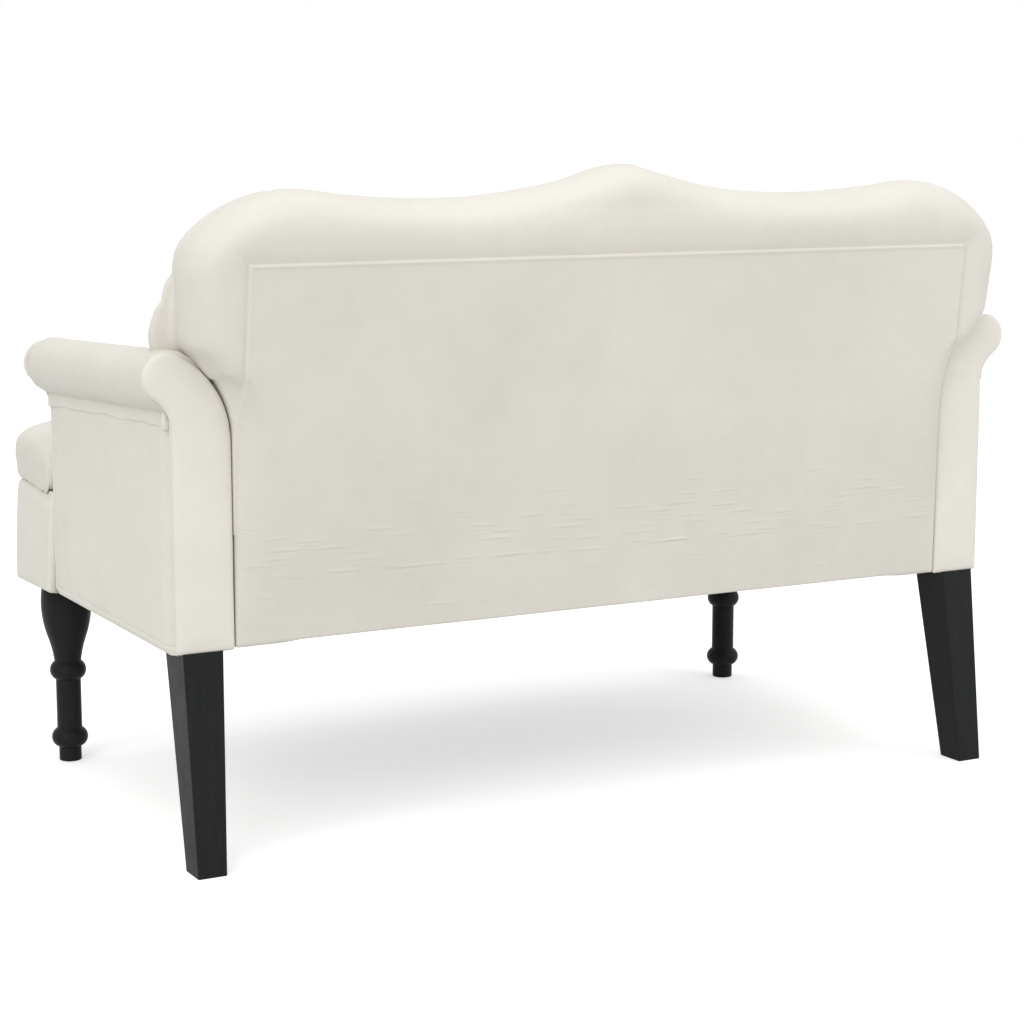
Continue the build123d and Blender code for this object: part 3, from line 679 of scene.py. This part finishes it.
def fit_back(piece):
    """Fits the swollen back to the arms, to its panel and to its seams."""
    points = places(piece)
    x, up, depth = to_back(points)
    rear = 1 - smooth_step(depth, 0.004, 0.016)
    beyond = np.maximum(np.abs(x) - PANEL_HALF_WIDTH, up - PANEL_HEIGHT)
    band = np.sin(np.clip(beyond / BAND_REACH, 0, 1) * math.pi) * BAND
    dip = SEAM_DIP * np.exp(-((beyond / 0.006) ** 2))
    limit = arm_limit(points[:, 2] + np.maximum(slope_drop(points[:, 1]), 0))
    # Below the scroll's head the padding lies against the arm, from the post forward
    contact = post_depth(up)
    fade = 0.025
    top = 0.270 + fade * smooth_step(depth, 0.045, 0.070)
    beside = smooth_step(np.abs(x), limit - 0.018, limit - 0.007) * (1 - smooth_step(up, top, top + fade))
    beside *= smooth_step(depth, contact - 0.006, contact)
    x = x + np.sign(x) * beside * np.maximum(limit - np.abs(x), 0)
    x = np.where(up < HEAD_HEIGHT, np.clip(x, -limit, limit), x)
    hollow = CROWN_HOLLOW * np.exp(-(((np.abs(x) - 0.130) / 0.090) ** 2))
    up = up - (CROWN_DROP + hollow) * smooth_step(up, 0.360, 0.460)
    depth = depth + rear * (dip - band) + rear * 0.0006 * soft_noise(points, 9, 1)
    crease = np.exp(-((pleat_distance(x, up) / CREASE) ** 2)) * smooth_step(depth, 0.070, 0.090)
    depth = depth - CREASE * crease
    # The padding stays under the outside panel
    edge = PANEL_HALF_WIDTH * (1 - PANEL_TAPER * up / PANEL_HEIGHT)
    seam_width = 0.004
    under = 1 - smooth_step(np.abs(x), edge, edge + seam_width)
    under *= 1 - smooth_step(up, PANEL_HEIGHT, PANEL_HEIGHT + seam_width)
    depth = depth + under * np.maximum(drawn_in(x, up) + 0.0005 - depth, 0)
    side_share = smooth_step(np.abs(x), 0.44, 0.50)
    x = x + np.sign(x) * side_swell(up, depth, points[:, 2]) * side_share
    put(piece, from_back(x, up, depth))
    # Seam round the crown, where the inside cover meets the rear band
    x, up, depth = to_back(places(piece))
    out = facing_of(piece)
    sunk = (0.0022 + 0.0040 * np.abs(out[:, 0])) * smooth_step(up, PAD_FOOT + 0.01, PAD_FOOT + 0.03)
    seam = sunk * np.exp(-(((depth - SEAM_DEPTH) / 0.0042) ** 2))
    put(piece, places(piece) - out * seam[:, None])


def padded_back():
    """Camelback pad: round crown, full band at the rear, buttoned and pleated inside."""
    piece = back_block()
    # The back padding takes the darker copy of the cream leather: painted shade
    remesh(piece, BACK_CELL, 5, PAD_LEATHER_PAINTED_SHADE)
    tuft_back(piece)
    fit_back(piece)
    dress(piece, "back_cover", "back_foam")


padded_back()


def covered_buttons():
    """Domed buttons in the same cover, gathered at the rim."""
    points, faces = [], []
    rows, columns = 7, 28
    dome = 0.0071
    profile = [(0.0104, 0.0000), (0.0110, 0.0022), (0.0104, 0.0043), (0.0086, 0.0058)]
    profile += [(0.0060, 0.0066), (0.0030, 0.0070), (0.0004, dome)]
    for column, row in low_buttons + high_buttons:
        first = len(points)
        for radius, height in profile:
            for i in range(columns):
                turn = 2 * math.pi * i / columns
                gather = 1 + 0.018 * math.cos(14 * turn) * (1 - height / dome)
                x = column + radius * gather * math.cos(turn)
                up = row + radius * gather * math.sin(turn)
                points += [from_back(x, up, BUTTON_DEPTH + height)]
        faces += [tuple(first + i for i in face) for face in quads(rows, columns, closed=True)]
        faces += [tuple(range(first, first + columns))]
        faces += [tuple(range(first + (rows - 1) * columns, first + rows * columns))]
    piece = mesh_piece("tufting_buttons", points, faces)
    dress(piece, "back_buttons")


covered_buttons()


# Outside back panel, with the fine level creases of its lower third

def crease_marks():
    """Level creases as (X of the middle, height, half length, strength), in a set order."""
    marks = []
    # Height of a row, number of its creases, their half length and strength
    rows = (
        (0.0765, 12, 0.021, 1.0), (0.0790, 9, 0.015, 0.8), (0.090, 7, 0.014, 0.7),
        (0.099, 9, 0.016, 0.8), (0.105, 8, 0.018, 0.8), (0.114, 8, 0.016, 0.8),
        (0.121, 8, 0.014, 0.8), (0.132, 6, 0.014, 0.7), (0.149, 4, 0.012, 0.6),
        (0.028, 3, 0.008, 0.8), (0.056, 4, 0.010, 0.5),
    )
    for line, (height, count, half, strength) in enumerate(rows):
        for i in range(count):
            spot = noise.noise(Vector((line * 3.3 + 0.37, i * 1.71 + 0.2, 0.5)))
            other = noise.noise(Vector((line * 2.1 + 9.2, i * 2.3 + 0.6, 4.1)))
            x = PANEL_HALF_WIDTH * (2 * (i + 0.5 + 1.2 * spot) / count - 1)
            level = height + 0.004 * other
            marks += [(x, level, half * (1 + 0.8 * spot), strength * (1 + 0.6 * other))]
            if line % 2 and other > 0:
                marks += [(x + half * spot, level - 0.0042, half * 0.8, strength * 0.8)]
    return marks


def panel_relief(x, up):
    """How far the panel's cover stands out: its slack, the bead inside its edge, and the creases."""
    flat = from_back(x, up, 0.0).reshape(-1, 3)
    swell = 0.0007 * soft_noise(flat, 6.5, 2) + 0.0003 * soft_noise(flat, 17, 3)
    swell = swell.reshape(x.shape)
    inside = np.minimum(PANEL_HALF_WIDTH - np.abs(x), PANEL_HEIGHT - up)
    face = COVER + swell * smooth_step(inside, 0.004, 0.05)
    bead = np.where(PANEL_HALF_WIDTH - np.abs(x) < PANEL_HEIGHT - up, SIDE_BEAD, TOP_BEAD)
    face += bead * np.exp(-(((inside - 0.0030) / 0.0020) ** 2))
    face -= 0.0026 * (1 - smooth_step(inside, 0, 0.0020)) + 0.0016 * (1 - smooth_step(up, 0.0, 0.006))
    for place, height, half, strength in crease_marks():
        length = np.clip(1 - ((x - place) / half) ** 2, 0, 1)
        slope = up - height - 0.02 * (x - place) * math.sin(place * 40)
        ridge = np.exp(-((slope / 0.0011) ** 2)) - 0.45 * np.exp(-(((slope + 0.0026) / 0.0015) ** 2))
        face += PANEL_CREASE * strength * np.sqrt(length) * ridge
    return face


def outside_panel():
    """Sheet of faux leather over the rear of the back, turned in at its sides and its foot."""
    # Rows from -1 down and columns from 1 out stand for the turned-in edges
    creased = 0.158
    low = np.concatenate([np.linspace(0, 0.006, 6), np.arange(0.0072, creased, 0.0013)])
    upper = np.linspace(creased, PANEL_HEIGHT - PANEL_EDGE, 44)[1:]
    edge = np.linspace(PANEL_HEIGHT - PANEL_EDGE, PANEL_HEIGHT, 12)[1:]
    rise = np.concatenate([[-2, -1], low, upper, edge])
    middle = np.linspace(-PANEL_HALF_WIDTH + PANEL_EDGE, PANEL_HALF_WIDTH - PANEL_EDGE, 150)
    side = np.linspace(0, PANEL_EDGE, 11)
    first, last = -PANEL_HALF_WIDTH + side[:-1], PANEL_HALF_WIDTH - side[-2::-1]
    across = np.concatenate([[-2, -1], first, middle, last, [1, 2]])
    x, up = np.meshgrid(across, rise)
    turned_side = np.where(np.abs(x) >= 1, np.abs(x), 0)
    turned_foot = np.where(up <= -1, -up, 0)
    x = np.clip(x, -PANEL_HALF_WIDTH, PANEL_HALF_WIDTH)
    up = np.maximum(up, 0)
    lift = 0.0016 + 0.0024 * (1 - smooth_step(np.abs(x), 0.385, 0.420))
    up = up + lift * (1 - up / PANEL_HEIGHT) ** 8
    depth = np.where(turned_side > 0, 0.010 * turned_side, -panel_relief(x, up))
    depth = np.where(turned_foot > 0, 0.018 * turned_foot - 0.0165, depth)
    up = up - np.where(turned_foot > 0, 0.0004, 0)
    x = x + np.sign(x) * 0.0008 * smooth_step(np.abs(x), PANEL_HALF_WIDTH - PANEL_EDGE, PANEL_HALF_WIDTH)
    drawn = drawn_in(x, up)
    depth = depth + drawn
    x = x * (1 - PANEL_TAPER * up / PANEL_HEIGHT)
    outer = from_back(x, up, depth)
    thick = 0.0010
    inner_depth = np.where(turned_side + turned_foot > 0, depth, thick + drawn)
    inner_x = x - np.sign(x) * thick * (turned_side > 0)
    inner = from_back(inner_x, up + thick * (turned_foot > 0), inner_depth)
    piece = shell("outside_back_sheet", outer, inner)
    # The outside back panel takes the darker copy of the cream leather: painted shade
    piece.data.materials[0] = REAR_LEATHER_PAINTED_SHADE
    dress(piece, "outside_back_panel")


outside_panel()


# Arms

def roll_section(drop):
    """Section of an arm's padding in X and Z: inside face, sweep, roll, and the lap under it."""
    head_x, head_z, radius = ROLL
    outer = ARM_OUTER - PANEL_BOARD
    sweep = sweep_radius(head_x, head_z, radius)
    sweep_centre = (ARM_INNER + sweep, SPRING_HEIGHT)
    crest_turn = direction(sweep_centre, (head_x, head_z))
    fall = math.sqrt((radius + NECK_RADIUS) ** 2 - NECK_RADIUS**2)
    neck = (outer + NECK_RADIUS, head_z - fall)
    throat_turn = direction((head_x, head_z), neck)
    shelf = ARM_INNER + ARM_PAD
    line = [(ARM_INNER, z) for z in np.linspace(ARM_PAD_FOOT, SPRING_HEIGHT, 14)[:-1]]
    for turn in np.linspace(math.pi, crest_turn, 12):
        line += [(sweep_centre[0] + sweep * math.cos(turn), sweep_centre[1] + sweep * math.sin(turn))]
    for turn in np.linspace(crest_turn, throat_turn, 30)[1:]:
        line += [(head_x + radius * math.cos(turn), head_z + radius * math.sin(turn))]
    line += [(outer, neck[1]), (outer, LAP_HEIGHT), (shelf, LAP_HEIGHT)]
    line += [(shelf, z) for z in np.linspace(LAP_HEIGHT, ARM_PAD_FOOT, 10)[1:]]
    section = np.array(line)
    high = smooth_step(section[:, 1], ARM_PAD_FOOT, SPRING_HEIGHT)
    section[:, 1] -= drop * high
    return section


def arm_padding(side, label):
    """Foam and cover over the inside of an arm and its roll."""
    stations = np.linspace(ARM_REAR - FACING, ARM_FRONT + FACING, 48)
    rings = []
    for y in stations:
        section = roll_section(slope_drop(y))
        rings += [np.stack([side * section[:, 0], np.full(len(section), y), section[:, 1]], axis=1)]
    piece = ring_loft(f"{label}_arm_padding", np.array(rings))
    # The arm padding takes the darker copy of the cream leather: painted shade
    remesh(piece, ARM_CELL, 3, PAD_LEATHER_PAINTED_SHADE)
    points = places(piece)
    out = np.abs(points[:, 0])
    near_end = np.minimum(stations[0] - points[:, 1], points[:, 1] - stations[-1])
    held = (near_end < 0.006) | (points[:, 2] < ARM_PAD_FOOT + 0.012)
    held |= (out > ARM_INNER + 0.013) & (points[:, 2] < HEM_TOP - 0.004)
    inflate(piece, held, pressure=2.5, cap=0.003)
    relax(piece, 2)
    refine(piece)
    points = places(piece)
    near_end = np.minimum(stations[0] - points[:, 1], points[:, 1] - stations[-1])
    # Both kinds of wrinkle run along the arm
    pull = 0.0007 * soft_noise(points * np.array([1, 0.22, 1]), 55, 4)
    pull = pull * np.exp(-(np.maximum(near_end, 0) / 0.05))
    ripple = 0.0005 * soft_noise(points * np.array([1, 0.35, 1]), 16, 5)
    put(piece, points + facing_of(piece) * (pull + ripple)[:, None])
    dress(piece, f"{label}_arm_cover", f"{label}_arm_foam")


def arm_side(side, label):
    """Covered outside of an arm, turned under at the foot."""
    rear, front = ARM_REAR - FACING, ARM_FRONT + FACING
    fine = rear - 0.034
    along = np.concatenate([np.linspace(rear, fine, 24), np.linspace(fine, front, 84)[1:]])
    share = np.concatenate([np.linspace(0, 0.05, 14), np.linspace(0.05, 1, 60)[1:]])
    y, v = np.meshgrid(along, share)
    top = HEM_TOP - slope_drop(y) - HEM_HEIGHT / 2
    foot = SIDE_FOOT + 0.003 * smooth_step(y, ARM_REAR - 0.030, ARM_REAR - FACING)
    z = foot + v * (top - foot)
    from_foot = z - foot
    flat = np.stack([np.full(y.shape, side * ARM_OUTER), y, z], axis=-1).reshape(-1, 3)
    swell = (0.0007 * soft_noise(flat, 8, 6) + 0.0003 * soft_noise(flat, 24, 7)).reshape(y.shape)
    edge = np.minimum(along[0] - y, y - along[-1])
    full = smooth_step(np.minimum(edge, from_foot), 0, 0.05)
    x = ARM_OUTER + 0.0012 * full + swell * full
    turn_in = np.clip(1 - from_foot / 0.009, 0, 1)
    x -= 0.0042 * (1 - np.sqrt(1 - turn_in**2))
    # Stitched line above the foot, soft ends, and the hollow where the side meets the rear facing
    x -= 0.0012 * np.exp(-(((from_foot - 0.0095) / 0.0014) ** 2))
    x -= 0.0014 * (1 - smooth_step(y - front, 0, 0.004)) + 0.0005 * (1 - smooth_step(rear - y, 0, 0.002))
    x -= 0.0021 * smooth_step(rear - y, 0.001, 0.011) * (1 - smooth_step(rear - y, 0.014, 0.032))
    outer = np.stack([side * x, y, z], axis=-1)
    inner = np.stack([np.full(y.shape, side * (ARM_OUTER - PANEL_BOARD)), y, z], axis=-1)
    piece = shell(f"{label}_arm_side", outer, inner)
    dress(piece, f"{label}_arm_outside_panel")


def arm_hem(side, label):
    """Hem of the roll's cover, tacked under the roll, with puckers and a loose rear end."""
    along = np.linspace(ARM_REAR - FACING - 0.002, ARM_FRONT + FACING, 150)
    rings = []
    # Place along the arm and width of each pucker, and the hem's section in shares of bulge and height
    puckers = ((0.185, 0.012), (0.075, 0.022), (-0.085, 0.016))
    section = [(0, 0), (0.6, -0.02), (0.95, -0.10), (1, -0.3), (0.95, -0.62), (1.05, -0.86)]
    section += [(0.85, -0.97), (0.4, -1.0), (0, -0.99), (-0.15, -0.7), (-0.15, -0.3)]
    for y in along:
        top = HEM_TOP + 0.003 - slope_drop(y)
        wave = 0.0020 * noise.noise(Vector((side * 0.3, y * 17, 1.7))) + 0.0005 * math.sin(y * 75)
        pinch = sum(math.exp(-(((y - place) / width) ** 2)) for place, width in puckers)
        flap = smooth_step(y, ARM_REAR - 0.034, ARM_REAR - FACING)
        height = HEM_HEIGHT + 0.003 + wave - 0.002 * pinch + 0.004 * flap
        bulge = 0.0034 + 0.0016 * pinch + 0.0045 * flap + 0.0008 * math.sin(y * 90 + 1)
        rings += [[(side * (ARM_OUTER + a * bulge), y, top + b * height) for a, b in section]]
    piece = ring_loft(f"{label}_arm_hem", np.array(rings))
    refine(piece)
    dress(piece, f"{label}_arm_hem_strip")


def arm_facing(node, outward):
    """Padded scroll panel at the end of an arm, soft at its edges."""
    piece = copy_of(node, node.replace("facing", "scroll"))
    remesh(piece, FACING_CELL, 3, LEATHER)
    points = places(piece)
    normals = facing_of(piece)
    rim = np.flatnonzero(np.abs(normals[:, 1]) < 0.4)
    tree = kdtree.KDTree(len(rim))
    for i in rim:
        tree.insert(points[i], int(i))
    tree.balance()
    gap = np.array([tree.find(p)[2] for p in points])
    full = FACING_FULLNESS * np.sin(np.clip(gap / 0.022, 0, 1) * math.pi / 2)
    outer_face = smooth_step(normals[:, 1] * outward, 0.2, 0.8)
    ripple = 0.0004 * soft_noise(points, 20, 8)
    points[:, 1] += outward * outer_face * (full + ripple)
    points[:, 2] -= 0.0016 * (1 - smooth_step(points[:, 2], LEG_HEIGHT, LEG_HEIGHT + 0.020))
    put(piece, points)
    relax(piece, 2)
    dress(piece, node)


for arm_sign, arm_label in ((1, "left"), (-1, "right")):
    arm_padding(arm_sign, arm_label)
    arm_side(arm_sign, arm_label)
    arm_hem(arm_sign, arm_label)
    arm_facing(f"{arm_label}_arm_rear_facing", 1)
    arm_facing(f"{arm_label}_arm_front_facing", -1)


# Seat

def rim_sag(y):
    """How far the seam between cushion and border falls towards the arms."""
    return RIM_SAG * smooth_step(y, -0.270, ARM_FRONT)


def seat_cushion():
    """T-shaped cushion swollen from its foam, full down to the border."""
    piece = copy_of("seat_foam", "seat_cushion")
    # The cushion takes the darker copy of the cream leather: painted shade
    remesh(piece, SEAT_CELL, 5, PAD_LEATHER_PAINTED_SHADE)
    points = places(piece)
    low = points[:, 2] < SEAT_HEIGHT + 0.008
    beside_arm = (np.abs(points[:, 0]) > ARM_INNER - 0.008) & (points[:, 1] > ARM_FRONT - 0.006)
    inflate(piece, low | beside_arm, pressure=2.5, cap=0.006)
    relax(piece, 4)
    refine(piece)
    points = places(piece)
    height = points[:, 2] - SEAT_HEIGHT
    before_arms = points[:, 1] < ARM_FRONT - 0.006
    full = CUSHION_FULLNESS * np.sin(np.clip(height / 0.080, 0, 1) * math.pi)
    full += CUSHION_FULLNESS * (1 - smooth_step(height, 0.0, 0.030))
    full *= before_arms
    out = facing_of(piece)
    level = out * np.array([1, 1, 0])
    ripple = 0.0008 * soft_noise(points, 9, 9) + 0.0004 * soft_noise(points, 28, 10)
    shoulder = CUSHION_SHOULDER * np.exp(-(((height - 0.066) / 0.018) ** 2))
    shoulder *= np.linalg.norm(level, axis=1)
    shoulder *= before_arms
    points = points + level * full[:, None]
    points += out * (shoulder + ripple * smooth_step(height, 0.012, 0.03))[:, None]
    points[:, 2] = np.maximum(points[:, 2], SEAT_HEIGHT + 0.0003)
    # The wings fall, their rear corners fill out to the border, and the lip hangs over its sagging rim
    across = np.abs(points[:, 0])
    wing = smooth_step(across, 0.410, 0.505)
    points[:, 2] -= WING_DROP * wing * smooth_step(height, 0.02, 0.085)
    corner = smooth_step(points[:, 1], -0.205, -0.165) * smooth_step(across, 0.500, 0.522)
    corner *= 1 - smooth_step(height, 0.035, 0.075)
    reach = np.maximum(BORDER_OUTER - across, 0) * 0.85 * corner
    points[:, 0] += np.sign(points[:, 0]) * reach
    across = np.abs(points[:, 0])
    lip = smooth_step(across, 0.5340, 0.5365) * (1 - smooth_step(height, 0.0, 0.050))
    points[:, 2] -= lip * rim_sag(points[:, 1])
    put(piece, points)
    dress(piece, "seat_cover", "seat_foam")


seat_cushion()


def front_border():
    """Covered band round the front of the seat frame, lower towards the front and turned in all round."""
    radius = BORDER_CORNER
    end = ARM_FRONT - 0.0004
    corner = (BORDER_OUTER - radius, BORDER_FRONT + radius)
    # Path as X, Y and the outward direction
    path = [(BORDER_OUTER - 0.002, end, 1.0, 0.0)]
    path += [(BORDER_OUTER, y, 1.0, 0.0) for y in np.linspace(end - 0.002, corner[1], 26)[:-1]]
    for turn in np.linspace(0, -math.pi / 2, 10):
        c, s = math.cos(turn), math.sin(turn)
        path += [(corner[0] + radius * c, corner[1] + radius * s, c, s)]
    path += [(x, BORDER_FRONT, 0.0, -1.0) for x in np.linspace(corner[0], 0, 70)[1:]]
    path += [(-x, y, -a, b) for x, y, a, b in path[-2::-1]]
    # Section as distance out and height, from the turned-in foot up to the turned-in top
    height = SEAT_HEIGHT - LEG_HEIGHT
    section = [(-0.016, 0.0), (-0.005, -0.0004), (-0.0015, 0.0006), (0.0, 0.004)]
    section += [(0.0, z) for z in np.linspace(0.008, height - 0.010, 22)]
    section += [(-0.0006, height - 0.005), (-0.0024, height - 0.0016)]
    section += [(-0.006, height + 0.0004), (-0.016, height + 0.0008)]
    rings = []
    for x, y, a, b in path:
        ring = []
        droop = BORDER_DROP + 0.0025 * smooth_step(-y, -WING_REAR, -BORDER_FRONT)
        sag = rim_sag(y)
        for out, z in section:
            share = min(max(z / height, 0), 1)
            flare = 0.0030 * (1 - share) ** 2 + 0.0010 * math.sin(math.pi * share)
            swell = 0.0005 * noise.noise(Vector((x * 9, y * 9, z * 9)))
            face = out > -0.004
            shift = out + (flare + swell - 0.0028 * share**2 if face else 0)
            fall = droop * (1 - share) + (sag * share if face else 0)
            ring += [(x + a * shift, y + b * shift, LEG_HEIGHT + z - fall)]
        rings += [ring]
    piece = ring_loft("front_border_band", np.array(rings))
    dress(piece, "front_border")


front_border()


def dust_sheet():
    """Cloth stapled under the seat frame, sagging a little, cut round the front legs."""
    low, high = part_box("dust_cover")
    cell = DUST_CELL
    columns = int((high.x - low.x) / cell) + 1
    rows = int((high.y - low.y) / cell) + 1
    xs = np.linspace(low.x, high.x, columns)
    ys = np.linspace(low.y, high.y, rows)
    x, y = np.meshgrid(xs, ys)
    stem = ARM_INNER - CLEARANCE
    leg_low, leg_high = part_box("left_front_leg")
    leg = (leg_low + leg_high) / 2
    hole = LEG_HOLE
    for sign in (1, -1):
        away = np.hypot(x - sign * leg.x, y - leg.y)
        close = np.abs(away - hole) < cell * 0.75
        pull = np.where(close, hole / np.maximum(away, 1e-6), 1)
        x = sign * leg.x + (x - sign * leg.x) * pull
        y = leg.y + (y - leg.y) * pull
    neck_row = np.argmin(np.abs(ys - WING_REAR))
    y[neck_row] = np.where(np.abs(x[neck_row]) > stem - cell, WING_REAR, y[neck_row])
    stem_column = np.argmin(np.abs(xs - stem))
    x[neck_row:, stem_column] = stem
    x[neck_row:, columns - 1 - stem_column] = -stem
    edge = np.minimum(np.minimum(x - low.x, high.x - x), np.minimum(y - low.y, high.y - y))
    flat = np.stack([x, y, 0 * x], -1).reshape(-1, 3)
    ripple = 0.0008 * soft_noise(flat, 11, 11).reshape(x.shape)
    sag = 0.0035 * smooth_step(edge, 0, 0.2) + ripple * smooth_step(edge, 0, 0.05)
    z = high.z - 0.0006 - np.maximum(sag, 0)
    faces = []
    for face in quads(rows, columns):
        centre_x = np.mean([x.flat[i] for i in face])
        centre_y = np.mean([y.flat[i] for i in face])
        in_wing = centre_y < WING_REAR
        in_hole = math.hypot(abs(centre_x) - leg.x, centre_y - leg.y) < hole - 0.001
        if (in_wing or abs(centre_x) < stem) and not in_hole:
            faces += [face]
    piece = mesh_piece("dust_sheet", np.stack([x, y, z], axis=-1), faces, "dust_cloth")
    work = bmesh.new()
    work.from_mesh(piece.data)
    bmesh.ops.delete(work, geom=[v for v in work.verts if not v.link_faces], context="VERTS")
    area = sum(f.calc_area() for f in work.faces)
    work.to_mesh(piece.data)
    work.free()
    thick = piece.modifiers.new("thickness", "SOLIDIFY")
    thick.thickness = 0.0005
    bake(piece)
    dress(piece, "dust_cover")


dust_sheet()


# Floor, light and camera

def seen_rays(tree):
    """1 for rays that show the background: straight from the camera, reflected or through glass."""
    path = add_node(tree, "ShaderNodeLightPath")
    shown = path.outputs["Is Camera Ray"]
    for ray in ("Is Glossy Ray", "Is Transmission Ray"):
        either = {0: shown, 1: path.outputs[ray]}
        shown = add_node(tree, "ShaderNodeMath", either, operation="MAXIMUM").outputs[0]
    return shown


def stage():
    """Pale floor, soft studio light and the camera behind the bench, to the sitter's left."""
    bpy.ops.mesh.primitive_plane_add(size=120)
    floor = bpy.context.object
    floor.name = "floor"
    look, tree, shader, _ = new_look("pale_floor")
    seen = seen_rays(tree)
    colour = blend_colours(tree, seen, (0.66, 0.66, 0.65), (0.90, 0.90, 0.90))
    tree.links.new(colour, shader.inputs["Base Color"])
    lift = add_node(tree, "ShaderNodeMath", {0: seen, 1: 0.48}, operation="MULTIPLY")
    shader.inputs["Emission Color"].default_value = (1, 1, 1, 1)
    tree.links.new(lift.outputs[0], shader.inputs["Emission Strength"])
    shader.inputs["Roughness"].default_value = 0.9
    shader.inputs["Specular IOR Level"].default_value = 0.1
    floor.data.materials.append(look)

    world = bpy.data.worlds.new("studio")
    scene.world = world
    world.use_nodes = True
    tree = world.node_tree
    shown = seen_rays(tree)
    fill = tree.nodes["Background"]
    fill.inputs["Color"].default_value = (1, 1, 1, 1)
    fill.inputs["Strength"].default_value = 0.58
    white = add_node(tree, "ShaderNodeBackground", {"Color": (1, 1, 1, 1), "Strength": 1.0})
    mixed = add_node(tree, "ShaderNodeMixShader", {0: shown, 1: fill.outputs[0], 2: white.outputs[0]})
    tree.links.new(mixed.outputs[0], tree.nodes["World Output"].inputs["Surface"])

    # Name, place, size and power of each lamp, all aimed at the middle of the bench
    lamps = (
        ("key", (4.6, 3.9, 3.5), 4.4, 172),
        ("top", (0.0, 0.4, 3.6), 3.6, 41),
        ("fill", (-3.4, 2.9, 1.7), 3.2, 46),
    )
    middle = Vector((0, 0.1, 0.4))
    for name, spot, size, power in lamps:
        lamp = bpy.data.objects.new(name, bpy.data.lights.new(name, "AREA"))
        lamp.data.size = size
        lamp.data.energy = power
        lamp.location = spot
        lamp.rotation_mode = "QUATERNION"
        lamp.rotation_quaternion = (middle - Vector(spot)).to_track_quat("-Z", "Y")
        scene.collection.objects.link(lamp)

    camera = bpy.data.objects.new("camera", bpy.data.cameras.new("camera"))
    camera.data.sensor_width = 36
    camera.data.lens = 84.66
    camera.location = (1.4014, 2.6347, 0.7998)
    camera.rotation_mode = "QUATERNION"
    camera.rotation_quaternion = Vector((-0.46658, -0.86983, -0.16033)).to_track_quat("-Z", "Y")
    scene.collection.objects.link(camera)
    scene.camera = camera
    scene.view_settings.view_transform = "Standard"


stage()
